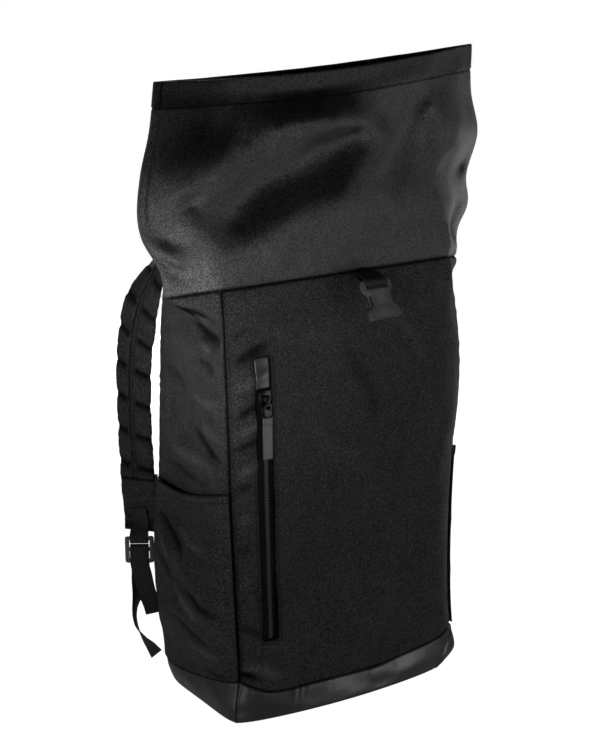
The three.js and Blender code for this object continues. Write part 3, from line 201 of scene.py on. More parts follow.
# Finer folds, which only the cloth's own surface shows.
FRONT_CREASES = [
    (-1.5, 5, [(-0.955, 0.89), (-0.88, 0.903), (-0.79, 0.913)]),
    (-2.4, 7, [(-0.94, 0.833), (-0.8, 0.855), (-0.62, 0.876)]),
    (2.0, 7, [(-0.93, 0.78), (-0.78, 0.797), (-0.62, 0.812)]),
    (-2.2, 6, [(-0.94, 0.71), (-0.8, 0.733), (-0.68, 0.752)]),
    (2.2, 6, [(-0.93, 0.675), (-0.78, 0.694), (-0.66, 0.712)]),
    (-2.0, 5, [(-0.94, 0.638), (-0.83, 0.652), (-0.73, 0.664)]),
    (2.0, 7, [(-0.93, 0.583), (-0.8, 0.602), (-0.68, 0.62)]),
    (-1.8, 6, [(-0.94, 0.545), (-0.86, 0.555), (-0.79, 0.565)]),
    (1.6, 7, [(-0.93, 0.47), (-0.82, 0.49)]),
    (-1.5, 7, [(-0.93, 0.4), (-0.82, 0.42)]),
    (1.4, 8, [(-0.91, 0.33), (-0.81, 0.345)]),
    (-1.8, 5, [(-0.93, 0.235), (-0.83, 0.22), (-0.74, 0.2)]),
    (2.6, 6, [(-0.94, 0.136), (-0.73, 0.122), (-0.59, 0.095)]),
    (-3.4, 3, [(-0.935, 0.12), (-0.87, 0.112), (-0.77, 0.098)]),
    (1.2, 9, [(0.30, 0.93), (0.62, 0.84), (0.8, 0.72)]),
    (-1.3, 12, [(-0.1, 0.87), (0.2, 0.74), (0.3, 0.62)]),
    (1.0, 12, [(-0.5, 0.72), (-0.1, 0.6), (0.25, 0.56)]),
]
SIDE_CREASES = [
    (-4.5, 4.2, [(0.6, 0.988), (0.07, 0.976), (-0.31, 0.964), (-0.56, 0.943), (-0.64, 0.92)]),
    (1.6, 5, [(0.2, 0.962), (-0.25, 0.948), (-0.48, 0.925)]),
    (-3.6, 5, [(-0.1, 0.91), (-0.45, 0.891), (-0.78, 0.879)]),
    (1.8, 6, [(-0.3, 0.873), (-0.7, 0.86)]),
    (-1.8, 6, [(-0.2, 0.83), (-0.55, 0.825), (-0.8, 0.81)]),
    (-1.4, 6, [(0.9, 0.8), (0.3, 0.77), (-0.2, 0.72)]),
    (1.8, 6, [(-0.9, 0.75), (-0.5, 0.735), (0.1, 0.75)]),
    (2.0, 6, [(-0.35, 0.69), (-0.65, 0.675), (-0.91, 0.66)]),
    (-3.0, 6, [(-0.1, 0.665), (-0.5, 0.635), (-0.86, 0.609)]),
    (2.2, 7, [(0.5, 0.606), (0, 0.598), (-0.72, 0.596)]),
    (-1.6, 6, [(0.7, 0.57), (0.0, 0.553), (-0.6, 0.55)]),
]
FOLDS = {"front": FRONT_FOLDS, "left": SIDE_FOLDS, "right": SIDE_FOLDS}
CREASES = {"front": FRONT_CREASES, "left": SIDE_CREASES, "right": SIDE_CREASES}

# Lines where the collar stands out or is pressed in, which the cloth between them spans.
COLLAR_LINES = [
    (12.5, [(0.04, 0.44), (0.075, 0.47), (0.105, 0.523), (0.155, 0.603), (0.193, 0.663), (0.238, 0.71)]),
    (13.5, [(0.238, 0.71), (0.315, 0.753), (0.38, 0.767), (0.46, 0.763), (0.532, 0.727), (0.58, 0.707)]),
    (-8.5, [
        (0.222, 0.318), (0.24, 0.357), (0.278, 0.427), (0.338, 0.517),
        (0.41, 0.543), (0.473, 0.63), (0.57, 0.67),
    ]),
    (7, [(0.235, 0.235), (0.312, 0.28), (0.41, 0.343), (0.482, 0.377), (0.583, 0.36), (0.66, 0.352)]),
    (5, [(0.112, 0.42), (0.119, 0.385), (0.13, 0.253), (0.138, 0.16), (0.163, 0.063)]),
    (4, [(0.65, 0.747), (0.645, 0.61), (0.66, 0.487)]),
    (-6, [(0.795, 0.747), (0.743, 0.667), (0.708, 0.56), (0.7, 0.473)]),
    (3.5, [(0.815, 0.737), (0.855, 0.683), (0.875, 0.623), (0.902, 0.533), (0.955, 0.433)]),
    (4.5, [(0.893, 0.233), (0.87, 0.177), (0.893, 0.083), (0.965, 0.027)]),
    (-5, [(0.963, 0.263), (0.932, 0.2), (0.94, 0.137)]),
    (4.5, [(0.985, 0.44), (0.972, 0.393), (0.965, 0.317)]),
    (2.5, [(0.06, 0.33), (0.08, 0.293)]),
    (-3.5, [(0.02, 0.33), (0.035, 0.29), (0.055, 0.25)]),
    (-3, [(0.01, 0.17), (0.015, 0.137), (0.035, 0.083)]),
    (2.5, [(0.016, 0.227), (0.028, 0.177), (0.05, 0.123)]),
]
POCKET_CREASES = [
    (-2.4, 5, [(0.85, 0.455), (0.45, 0.43), (0.05, 0.39), (-0.1, 0.37)]),
    (2.2, 5, [(0.2, 0.44), (-0.2, 0.405), (-0.62, 0.392)]),
    (2.0, 6, [(0.75, 0.41), (0.45, 0.385), (0.2, 0.35)]),
    (-2.2, 5, [(0.75, 0.37), (0.35, 0.315), (0.15, 0.27)]),
    (2.4, 7, [(0.25, 0.3), (-0.1, 0.245), (-0.35, 0.215)]),
    (-2.4, 5, [(-0.1, 0.3), (-0.4, 0.262), (-0.8, 0.25)]),
    (-2.0, 5, [(0.4, 0.22), (-0.1, 0.185), (-0.6, 0.165)]),
    (1.8, 5, [(0.1, 0.16), (-0.4, 0.145), (-0.85, 0.15)]),
    (-2.0, 4, [(-0.3, 0.105), (-0.65, 0.1), (-0.88, 0.11)]),
]

# Left shoulder strap from its anchor on the back panel to its lower end. x is a share of HALF_WIDTH,
# y is millimetres behind HALF_DEPTH, z a share of BODY_HEIGHT. Width and thick are shares.
STRAP = table(
    "x y z ax ay az width thick",
    (-0.443, 0, 0.925, 1, 0, 0, 1, 0.45),
    (-0.447, 12, 0.965, 1, 0, 0, 1, 0.6),
    (-0.49, 19, 1.006, 0.95, 0.28, 0, 0.98, 0.8),
    (-0.6, 26, 1.026, 0.77, 0.62, 0.03, 0.93, 0.85),
    (-0.73, 16, 1.02, 0.5, 0.86, 0.08, 0.88, 0.9),
    (-0.84, 20, 0.99, 0.24, 0.96, 0.12, 0.86, 0.9),
    (-0.905, 28, 0.945, 0.04, 0.99, 0.1, 0.93, 0.85),
    (-0.945, 36, 0.9, -0.12, 0.99, 0.04, 1, 0.8),
    (-0.96, 44, 0.84, -0.15, 0.98, 0.02, 1.02, 1),
    (-0.968, 50, 0.78, -0.17, 0.98, 0, 0.99, 0.84),
    (-0.969, 53, 0.72, -0.17, 0.98, 0, 1.01, 1),
    (-0.969, 54, 0.66, -0.17, 0.98, 0, 0.99, 0.86),
    (-0.967, 54, 0.589, -0.17, 0.98, 0, 1, 1),
    (-0.965, 53, 0.53, -0.18, 0.98, 0, 0.99, 0.88),
    (-0.964, 51, 0.482, -0.2, 0.98, 0, 1, 1),
    (-0.964, 48, 0.436, -0.24, 0.97, -0.03, 0.98, 0.94),
    (-0.966, 46, 0.414, -0.28, 0.96, -0.05, 0.95, 0.46),
    (-0.972, 44, 0.396, -0.36, 0.93, -0.04, 0.86, 0.34),
    (-0.98, 42, 0.374, -0.52, 0.85, -0.02, 0.74, 0.32),
    (-1.005, 39, 0.355, -0.76, 0.65, 0, 0.62, 0.3),
)
STRAP_STEPS = 30

LOCK_TURN = math.radians(34)
LOCK_PLACE = np.array((-1.028 * HALF_WIDTH, HALF_DEPTH + 36.5, 0.311 * BODY_HEIGHT))
LOCK_ACROSS = np.array((math.cos(LOCK_TURN), -math.sin(LOCK_TURN), 0))
LOCK_FACE = np.array((-math.sin(LOCK_TURN), -math.cos(LOCK_TURN), 0))

LOAD_RUN = table(
    "x y z ax ay az",
    (-1.004, 11.4, 28.5, 0.08, 0.12, -0.98),
    (-1.024, 16, 34.5, 0.14, 0.35, -0.92),
    (-1.055, 24, 43, 0.3, 0.72, -0.6),
    (-1.086, 33, 57, 0.52, 0.83, -0.15),
    (-1.088, 36, 73, 0.68, 0.73, 0),
    (-1.042, 38, 94, 0.93, 0.32, 0),
    (-1.013, 39, 112, 0.9, -0.42, 0),
)
TAIL_RUN = table(
    "x y z ax ay az",
    (-1.025, 32, 114, 0.83, -0.56, 0),
    (-1.0, 30.5, 94, 0.83, -0.56, 0),
    (-0.96, 30, 80, 0.83, -0.56, 0),
    (-0.935, 30, 68, 0.83, -0.56, 0),
)
BUCKLE_OUTLINE = table(
    "l w",
    (0.0, 14.5),
    (0.05, 16.6),
    (0.12, 17.8),
    (0.26, 17.8),
    (0.33, 13),
    (0.42, 11.2),
    (0.66, 11.2),
    (0.74, 14.6),
    (0.81, 16.6),
    (1.0, 17.4),
)
BUCKLE_SLOT = (5.6, 10.4)
BUCKLE_BODY_START = 0.29
MOUTH_HALF_WIDTH = 12
MOUTH_HALF_HEIGHT = 3
MOUTH_DEPTH = 25
BUCKLE_X = 0.186 * HALF_WIDTH
BUCKLE_STAND_OFF = 20


def smooth(low, high, value):
    t = np.clip((value - low) / (high - low), 0, 1)
    return t * t * (3 - 2 * t)


def mix(a, b, share):
    return a + (b - a) * share


def unit(v):
    return v / np.linalg.norm(v, axis=-1, keepdims=True)


def read(rows, key, column, at):
    """Value of a column on a smooth curve through a table's rows."""
    x, y = rows[key], rows[column]
    last = len(x) - 1
    before = np.maximum(np.arange(last + 1) - 1, 0)
    after = np.minimum(np.arange(last + 1) + 1, last)
    slope = (y[after] - y[before]) / (x[after] - x[before])
    i = np.clip(np.searchsorted(x, at, side="left") - 1, 0, last - 1)
    span = x[i + 1] - x[i]
    t = np.clip((at - x[i]) / span, 0, 1)
    t2, t3 = t * t, t * t * t
    return (
        (2 * t3 - 3 * t2 + 1) * y[i]
        + (t3 - 2 * t2 + t) * span * slope[i]
        + (3 * t2 - 2 * t3) * y[i + 1]
        + (t3 - t2) * span * slope[i + 1]
    )


def relief(folds, a, b, size):
    """Displacement of folds at points in millimetres. The folds' own points are shares of the size."""
    a, b = np.broadcast_arrays(a, b)
    total = np.zeros(a.shape)
    for depth, width, path in folds:
        path = np.array(path) * size
        steps = len(path) - 1
        nearest = np.full(a.shape, np.inf)
        place = np.zeros(a.shape)
        for k in range(steps):
            start, run = path[k], path[k + 1] - path[k]
            t = np.clip(((a - start[0]) * run[0] + (b - start[1]) * run[1]) / run.dot(run), 0, 1)
            away = np.hypot(a - start[0] - run[0] * t, b - start[1] - run[1] * t)
            closer = away < nearest
            nearest = np.where(closer, away, nearest)
            place = np.where(closer, (k + t) / steps, place)
        taper = np.minimum(1, 0.35 + 2.2 * np.minimum(place, 1 - place))
        total += depth * taper * bell(nearest, width)
    return total


def along_path(path, step):
    """Points about a step apart along a path."""
    path = np.array(path, float)
    places = np.concatenate([[0], np.cumsum(np.hypot(*np.diff(path, axis=0).T))])
    at = np.linspace(0, places[-1], max(int(places[-1] / step), 1) + 1)
    return np.stack([np.interp(at, places, path[:, 0]), np.interp(at, places, path[:, 1])], axis=1)


def spanned(lines, a, b, size, soften, step=7):
    """Height of cloth that spans fold lines of given heights and lies at zero along its four edges."""
    width, height = size
    rim = [(0, 0), (width, 0), (width, height), (0, height), (0, 0)]
    spots, levels = [along_path(rim, 2 * step)], []
    levels.append(np.zeros(len(spots[0])))
    for level, path in lines:
        run = along_path(np.array(path) * size, step)
        place = np.linspace(0, 1, len(run))
        spots.append(run)
        levels.append(level * np.minimum(1, 0.45 + 2 * np.minimum(place, 1 - place)))
    spots, levels = np.concatenate(spots), np.concatenate(levels)
    apart = np.hypot(*(spots[:, None] - spots[None]).transpose(2, 0, 1))
    bent = np.sqrt(apart**2 + soften**2) + 0.5 * np.eye(len(spots))
    weights = np.linalg.lstsq(bent, levels, rcond=1e-6)[0]
    a, b = np.broadcast_arrays(a, b)
    total = np.zeros(a.shape)
    for (x, y), weight in zip(spots, weights):
        total += weight * np.sqrt((a - x) ** 2 + (b - y) ** 2 + soften**2)
    return total


def ripples(a, b, length, seed, count=20):
    """Soft random waves of about a wavelength, with a spread of about 1."""
    draw = np.random.default_rng(seed)
    angle = draw.uniform(0, 2 * np.pi, count)
    size = 2 * np.pi / length * draw.uniform(0.6, 1.5, count)
    phase = draw.uniform(0, 2 * np.pi, count)
    a, b = np.broadcast_arrays(a, b)
    total = np.zeros(a.shape)
    for way, k, start in zip(angle, size, phase):
        total += np.cos(k * (np.cos(way) * a + np.sin(way) * b) + start)
    return total * math.sqrt(2 / count)


def puckers(along, away, length, reach, seed):
    """Small gathers that run away from a seam."""
    warp = along + 0.35 * length * ripples(along, along * 0, 2.6 * length, seed, 8)
    swell = 0.65 + 0.35 * ripples(along, along * 0, 3.4 * length, seed + 1, 8)
    return swell * np.sin(2 * np.pi * warp / length) * np.exp(-away / reach)


def bell(away, width):
    return np.exp(-((away / width) ** 2))


def groove(away, depth, width):
    return -depth * bell(away, width)


def shade(*aways, reach=1.7):
    """Painted shade along seams and other lines, at these distances from them, up to 1."""
    return np.max([0.95 * bell(away, reach) for away in np.broadcast_arrays(*aways)], axis=0)


def over(seams, folds):
    """Painted shade and highlight of folds, laid over what the painted seam shade leaves."""
    return seams + (1 - seams) * folds


def run_length(points):
    """Distance along a run of points, from its first."""
    return np.concatenate([[0], np.cumsum(np.linalg.norm(np.diff(points, axis=0), axis=-1))])


def spaced(length, step, fine=0.6, edge=4.0):
    """Shares of a length, closer together near its two ends."""
    near = np.arange(0, edge, fine)
    middle = np.linspace(edge, length - edge, max(int((length - 2 * edge) / step), 2))
    return np.concatenate([near, middle, length - near[::-1]]) / length


CLOTH_STEP = 2.2

# Body panels. The sides run anticlockwise from above, each from its first corner seam to its second.
SIDES = {
    "front": ("frontLeft", "frontRight"),
    "right": ("frontRight", "backRight"),
    "back": ("backRight", "backLeft"),
    "left": ("backLeft", "frontLeft"),
}
BEFORE = {"front": "left", "right": "front", "back": "right", "left": "back"}
AFTER = {"front": "right", "right": "back", "back": "left", "left": "front"}


def corner_seam(name, z):
    share = z / BODY_HEIGHT
    at_front = name.startswith("front")
    sign = -1 if name.endswith("Left") else 1
    x = sign * HALF_WIDTH * read(BODY_SECTIONS, "height", name if at_front else "backLeft", share)
    depth = HALF_DEPTH * read(BODY_SECTIONS, "height", "front" if at_front else "back", share)
    return x, -depth if at_front else depth


def fold_share(side, along):
    if side not in ("left", "right"):
        return along * 0
    from_front = 1 - along if side == "left" else along
    before, behind = from_front / FOLD_PLACE, (1 - from_front) / (1 - FOLD_PLACE)
    return np.where(from_front < FOLD_PLACE, before, behind)


def seam_height(side, along):
    return BODY_HEIGHT - FOLD_DROP * fold_share(side, along)


def band_top(side, along):
    return read(BAND_TOP[side], "along", "z", along)


def panel_place(side, along, z):
    share = z / BODY_HEIGHT
    ax, ay = corner_seam(SIDES[side][0], z)
    bx, by = corner_seam(SIDES[side][1], z)
    length = np.hypot(bx - ax, by - ay)
    power = 12 if side in ("front", "back") else 6
    drop = np.maximum((seam_height(side, along) - z) / BODY_HEIGHT, 0)
    rise = read(BODY_SECTIONS, "height", "round", share) * (1 - np.abs(2 * along - 1) ** power)
    rise = rise + read(BELLY, "height", side, share) * 4 * along * (1 - along)
    if side in ("left", "right"):
        rise = rise + fold_share(side, along) * read(SIDE_FOLD, "drop", side, drop)
    x = ax + (bx - ax) * along + (by - ay) / length * rise
    y = ay + (by - ay) * along - (bx - ax) / length * rise
    return x, y


def panel_out(side, along, z):
    step = 0.006
    ax, ay = panel_place(side, np.clip(along - step, 0, 1), z)
    bx, by = panel_place(side, np.clip(along + step, 0, 1), z)
    length = np.hypot(bx - ax, by - ay)
    return (by - ay) / length, -(bx - ax) / length


def mitre_out(side, along, z):
    """Level direction out of a panel, which turns to the shared one at its seams."""
    ox, oy = panel_out(side, along, z)
    for edge, other, there in ((0.0, BEFORE[side], 1.0), (1.0, AFTER[side], 0.0)):
        sx, sy = panel_out(side, along * 0 + edge, z)
        nx, ny = panel_out(other, along * 0 + there, z)
        near = np.exp(-((np.abs(along - edge) * BODY_DEPTH / 4) ** 2))
        ox = ox + near * (nx + sx - 2 * ox) * 0.5
        oy = oy + near * (ny + sy - 2 * oy) * 0.5
    length = np.hypot(ox, oy)
    return ox / length, oy / length


def panel_point(side, along, z, away):
    along, z = np.broadcast_arrays(along, z)
    x, y = panel_place(side, along, z)
    ox, oy = mitre_out(side, along, z)
    return np.stack([x + ox * away, y + oy * away, z], axis=-1)


def panel_length(side, z):
    ax, ay = corner_seam(SIDES[side][0], z)
    bx, by = corner_seam(SIDES[side][1], z)
    return np.hypot(bx - ax, by - ay)


def panel_relief(folds, side, along, z):
    """Displacement of a panel's folds, whose points are shares of its half width and of its height."""
    x, y = panel_place(side, along, z)
    across, half = (x, HALF_WIDTH) if side == "front" else (y, HALF_DEPTH)
    return relief(folds, across, z, (half, BODY_HEIGHT))


def panel_folds(side, along, z):
    """Main folds of a panel, as its solid has them, and the finer ones of its surface."""
    if side == "back":
        return along * 0
    top = seam_height(side, along)
    fade = smooth(0, 0.1, along) * smooth(0, 0.1, 1 - along) * smooth(0, 14, top - z)
    fade = fade * smooth(0, 8, z - band_top(side, along))
    main = panel_relief(FOLDS[side], side, along, z)
    fine = panel_relief(CREASES[side], side, along, z)
    if side == "front":
        ends = smooth(0, 0.02, along) * smooth(0, 0.05, 1 - along) * smooth(0, 10, top - z)
        return fade * main + ends * fine
    return fade * (main + fine)


def cloth_detail(side, along, z, seed):
    """Unevenness of a panel's cloth, gathers along its seams and the groove of each seam."""
    length = panel_length(side, z)
    start, end = along * length, (1 - along) * length
    top, bottom = seam_height(side, along) - z, z - band_top(side, along)
    flat = start + 0 * z
    inner = smooth(0, 12, start) * smooth(0, 12, end) * smooth(0, 12, top) * smooth(0, 12, bottom)
    out = 0.75 * ripples(flat, z, 90, seed) * inner + 0.28 * ripples(flat, z * 0.8, 34, seed + 1) * inner
    out = out + 0.06 * ripples(flat, z, 11, seed + 2)
    for away, gather in ((start, 0.42), (end, 0.3)):
        out = out + gather * puckers(z, away, 17, 11, seed + 3)
        out = out + groove(away, 1.3, 1.5)
    out = out + 0.25 * puckers(flat, top, 15, 10, seed + 5)
    out = out + 0.3 * puckers(flat, bottom, 16, 10, seed + 7)
    return out + groove(top, 1.4, 1.7) + groove(bottom, 1.2, 1.4)


# Meshes.
def linked(name, data):
    """An object for a mesh, lamp or camera, in the scene."""
    obj = bpy.data.objects.new(name, data)
    bpy.context.scene.collection.objects.link(obj)
    return obj


def finished(work, name):
    """An object from a bmesh."""
    mesh = bpy.data.meshes.new(name)
    work.to_mesh(mesh)
    work.free()
    return linked(name, mesh)


def new_object(name, points, faces, weave, crease=48):
    """An object from points in millimetres.

    weave holds each point's place on the flat cloth and the painted shade and highlight that its seams
    and folds get.
    """
    mesh = bpy.data.meshes.new(name)
    mesh.from_pydata((np.asarray(points) * MM).tolist(), [], faces)
    mesh.shade_smooth()
    mesh.set_sharp_from_angle(angle=math.radians(crease))
    data = np.zeros((len(points), 3), np.float32)
    data[:, : weave.shape[-1]] = weave
    mesh.attributes.new("weave", "FLOAT_VECTOR", "POINT").data.foreach_set("vector", data.ravel())
    return linked(name, mesh)


def grid_faces(rows, columns, wrap=False, keep=None):
    """Quads of a grid whose points run along its columns first."""
    i, j = np.meshgrid(np.arange(rows if wrap else rows - 1), np.arange(columns - 1), indexing="ij")
    if keep is not None:
        i, j = i[keep], j[keep]
    i, j = i.ravel(), j.ravel()
    after = (i + 1) % rows
    here, there = i * columns + j, after * columns + j
    return np.stack([here, there, there + 1, here + 1], axis=1)


def cloth_sheet(name, outer, inner, weave, wrap=False, keep=None):
    """A closed sheet between an outer and an inner grid of points, with walls round its edges."""
    rows, columns = outer.shape[:2]
    layer = rows * columns
    face = grid_faces(rows, columns, wrap, keep)
    pairs = np.concatenate([face[:, [0, 1]], face[:, [1, 2]], face[:, [2, 3]], face[:, [3, 0]]])
    codes = pairs[:, 0] * layer + pairs[:, 1]
    back = pairs[:, 1] * layer + pairs[:, 0]
    rim = pairs[~np.isin(codes, back)]
    walls = np.stack([rim[:, 1], rim[:, 0], rim[:, 0] + layer, rim[:, 1] + layer], axis=1)
    faces = np.concatenate([face, face[:, ::-1] + layer, walls])
    points = np.concatenate([outer.reshape(-1, 3), inner.reshape(-1, 3)])
    flat = np.broadcast_to(weave, outer.shape[:2] + weave.shape[-1:]).reshape(layer, -1)
    used = np.unique(faces)
    number = np.full(2 * layer, -1)
    number[used] = np.arange(len(used))
    return new_object(name, points[used], number[faces].tolist(), np.concatenate([flat, flat])[used])


def swept_points(name, points, flat, crease=48, dark=0.0):
    """A closed band from rings of points, with its two ends capped by fans."""
    count, sides = points.shape[:2]
    ring = np.arange(sides)
    after = (ring + 1) % sides
    base = (np.arange(count - 1) * sides)[:, None]
    quads = [base + ring, base + after, base + sides + after, base + sides + ring]
    quads = np.stack(quads, axis=-1).reshape(-1, 4)
    middles = points.mean(axis=1)
    start, end = count * sides, count * sides + 1
    last = (count - 1) * sides
    caps = [[start, int(n), int(r)] for r, n in zip(ring, after)]
    caps += [[end, int(last + r), int(last + n)] for r, n in zip(ring, after)]
    every = np.concatenate([points.reshape(-1, 3), middles[:1], middles[-1:]])
    along = run_length(middles)
    weave = np.stack(np.broadcast_arrays(flat, along[:, None], dark), axis=-1).reshape(-1, 3)
    weave = np.concatenate([weave, [[0, 0, 0], [0, along[-1], 0]]])
    obj = new_object(name, every, quads.tolist() + caps, weave, crease)
    turn_out(obj)
    return obj


def turn_out(obj):
    """Turns every face of a closed mesh outwards."""
    work = bmesh.new()
    work.from_mesh(obj.data)
    bmesh.ops.recalc_face_normals(work, faces=work.faces)
    work.to_mesh(obj.data)
    work.free()


def spline(points, t):
    """Centripetal curve through points, at shares of its run from point to point."""
    points = np.asarray(points, float)
    last = len(points) - 1
    p = np.clip(t, 0, 1) * last
    i = np.minimum(np.floor(p).astype(int), last - 1)
    w = (p - i)[:, None]
    before = np.concatenate([[2 * points[0] - points[1]], points, [2 * points[-1] - points[-2]]])
    p0, p1, p2, p3 = (before[i + k] for k in range(4))
    d0, d1, d2 = (
        np.sum((b - a) ** 2, axis=1, keepdims=True) ** 0.25 for a, b in ((p0, p1), (p1, p2), (p2, p3))
    )
    d1 = np.where(d1 < 1e-4, 1, d1)
    d0 = np.where(d0 < 1e-4, d1, d0)
    d2 = np.where(d2 < 1e-4, d1, d2)
    t1 = ((p1 - p0) / d0 - (p2 - p0) / (d0 + d1) + (p2 - p1) / d1) * d1
    t2 = ((p2 - p1) / d1 - (p3 - p1) / (d1 + d2) + (p3 - p2) / d2) * d1
    return p1 + t1 * w + (-3 * p1 + 3 * p2 - 2 * t1 - t2) * w**2 + (2 * p1 - 2 * p2 + t1 + t2) * w**3


def stations(at, across, t):
    """Places, across and out directions along a run."""
    places = spline(at, t)
    step = 1e-4
    tangent = unit(spline(at, t + step) - spline(at, t - step))
    turned = unit(spline(across, t))
    turned = unit(turned - tangent * np.sum(turned * tangent, axis=1, keepdims=True))
    return places, turned, unit(np.cross(turned, tangent))


def mirrored(obj, name):
    """The same piece on the bag's other side."""
    copy = linked(name, obj.data.copy())
    copy.data.transform(Matrix.Scale(-1, 4, Vector((1, 0, 0))))
    copy.data.flip_normals()
    return copy


def tube(centre, side, up, fat, sides):
    """Rings round a line of points, from its two directions across and its radius at each."""
    turn = (np.arange(sides) * 2 * np.pi / sides)[None, :, None]
    ring = np.cos(turn) * side[:, None] + np.sin(turn) * up[:, None]
    return centre[:, None] + fat[:, None, None] * ring


def short_tubes(name, tubes, crease):
    """One mesh of many short closed tubes, each from its rings and its run along the cloth."""
    rings, sides = tubes[0][0].shape[:2]
    one = []
    for r in range(rings - 1):
        a = r * sides
        for s in range(sides):
            n = (s + 1) % sides
            one.append([a + s, a + n, a + sides + n, a + sides + s])
    one.append(list(range(sides))[::-1])
    one.append([(rings - 1) * sides + s for s in range(sides)])
    faces = [[k * rings * sides + corner for corner in face] for k in range(len(tubes)) for face in one]
    turn = np.arange(sides) * 2 * np.pi / sides
    weave = [np.stack([np.tile(turn, rings), np.repeat(at, sides)], axis=1) for _, at in tubes]
    points = np.concatenate([ring.reshape(-1, 3) for ring, _ in tubes])
    obj = new_object(name, points, faces, np.concatenate(weave), crease)
    turn_out(obj)
    return obj


STITCH_RISE = np.array([0.0, 0.8, 1.0, 0.8, 0.0])
STITCH_FAT = np.array([0.35, 0.95, 1.0, 0.95, 0.35])
STITCH_SINK = 0.1
STITCH_SIDES = 5


def stitches(name, runs, length=2.7, space=1.0, radius=0.3):
    """Sewing thread as rows of short rounded stitches, along runs of points with their directions out."""
    tubes = []
    for path, out in runs:
        steps = run_length(path)
        number = max(int(steps[-1] / (length + space)), 1)
        for k in range(number):
            at = k * steps[-1] / number + np.linspace(0, length, len(STITCH_RISE))
            centre = np.stack([np.interp(at, steps, path[:, c]) for c in range(3)], axis=1)
            normal = unit(np.stack([np.interp(at, steps, out[:, c]) for c in range(3)], axis=1))
            centre = centre + normal * (radius * (1.4 * STITCH_RISE - 0.9) - STITCH_SINK)[:, None]
            way = unit(np.gradient(centre, axis=0))
            side = unit(np.cross(way, normal))
            rings = tube(centre, side, np.cross(side, way), radius * STITCH_FAT, STITCH_SIDES)
            tubes.append((rings, at))
    return short_tubes(name, tubes, crease=80)


# Materials.
class Nodes:
    """A node tree, with short names for what is made in it."""

    def __init__(self, tree):
        self.tree = tree

    def put(self, socket, value):
        if isinstance(value, bpy.types.NodeSocket):
            self.tree.links.new(value, socket)
        else:
            socket.default_value = value

    def new(self, kind, **values):
        node = self.tree.nodes.new("ShaderNode" + kind)
        for name, value in values.items():
            self.put(node.inputs[name], value)
        return node

    def math(self, kind, *values):
        node = self.new("Math")
        node.operation = kind
        for socket, value in zip(node.inputs, values):
            self.put(socket, value)
        return node.outputs[0]

    def add(self, a, b):
        return self.math("ADD", a, b)

    def times(self, a, b):
        return self.math("MULTIPLY", a, b)

    def waves(self, value, length):
        return self.math("SINE", self.times(value, 2 * math.pi / length))

    def split(self, vector):
        outputs = self.new("SeparateXYZ", Vector=vector).outputs
        return outputs["X"], outputs["Y"], outputs["Z"]

    def noise(self, place, scale, detail=2.0, roughness=0.5):
        node = self.new("TexNoise", Vector=place, Scale=scale, Detail=detail, Roughness=roughness)
        return node.outputs["Fac"]

    def ramp(self, value, stops):
        """Grey between stops, each a place and a level."""
        node = self.new("ValToRGB", Fac=value)
        while len(node.color_ramp.elements) < len(stops):
            node.color_ramp.elements.new(0.5)
        for element, (at, level) in zip(node.color_ramp.elements, stops):
            element.position = at
            element.color = (level, level, level, 1)
        return node.outputs["Color"]


class Finish(Nodes):
    """A material, and the textures that its shader's inputs are worked out from."""

    def __init__(self, name):
        self.made = bpy.data.materials.new(name)
        self.made.use_nodes = True
        super().__init__(self.made.node_tree)

    def set(self, values):
        shader = self.tree.nodes["Principled BSDF"]
        for name, value in values.items():
            self.put(shader.inputs[name], value)
        return self.made

    def object_place(self):
        return self.new("TexCoord").outputs["Object"]

    def flat_place(self):
        """The point's place on the flat cloth, in millimetres."""
        node = self.new("Attribute")
        node.attribute_name = "weave"
        return node.outputs["Vector"]

    def painted_light_scale(self):
        """The share of a surface's own brightness left by the painted shade of seams and folds, above one
        where a highlight is painted, from weave's last value.
        """
        return self.math("SUBTRACT", 1.0, self.split(self.flat_place())[2])

    def bump(self, height, distance):
        return self.new("Bump", Height=height, Distance=distance * MM, Strength=1.0).outputs["Normal"]

    def twill(self, place, pitch):
        """Height of a twill: diagonal ribs broken up by threads that cross them."""
        x, y, _ = self.split(place)
        thread = self.waves(self.math("SUBTRACT", x, y), pitch * 0.9)
        return self.add(self.waves(self.add(x, y), pitch * 1.41), self.times(thread, 0.7))

    def flecks(self, place, size):
        """A random value for each small float of thread."""
        snap = self.new("VectorMath", Vector=place)
        snap.operation = "SNAP"
        snap.inputs[1].default_value = (*size, 1)
        cell = self.new("TexWhiteNoise", Vector=snap.outputs["Vector"])
        cell.noise_dimensions = "2D"
        return cell.outputs["Value"]


def cloth_material(name, levels, pitch, rough, depth, speckle, gloss=0.3, fleck_size=(0.9, 1.15)):
    """Woven black cloth with a speckle of lighter threads."""
    made = Finish(name)
    place, left = made.flat_place(), made.painted_light_scale()
    weave = made.twill(place, pitch)
    grain = made.noise(place, 0.7, 3.0, 0.7)
    cloud = made.times(made.math("SUBTRACT", made.noise(place, 0.012), 0.5), 0.3)
    spot = made.flecks(place, fleck_size)
    lit = made.math("POWER", spot, speckle)
    fleck = made.add(made.add(lit, made.times(weave, 0.06)), cloud)
    height = made.add(made.times(weave, 0.35), made.times(grain, 0.8))
    sparkle = made.add(made.times(lit, 1.2), 0.55)
    # Base colour and specular level are scaled by the painted shade and highlight in weave's last value.
    return made.set({
        "Base Color": made.ramp(made.times(fleck, left), [(0.0, levels[0]), (1.0, levels[1])]),
        "Roughness": made.add(made.times(spot, 0.16), rough - 0.08),
        "Normal": made.bump(made.add(height, made.times(spot, 0.5)), depth),
        "Specular IOR Level": made.times(made.times(sparkle, gloss), left),
    })


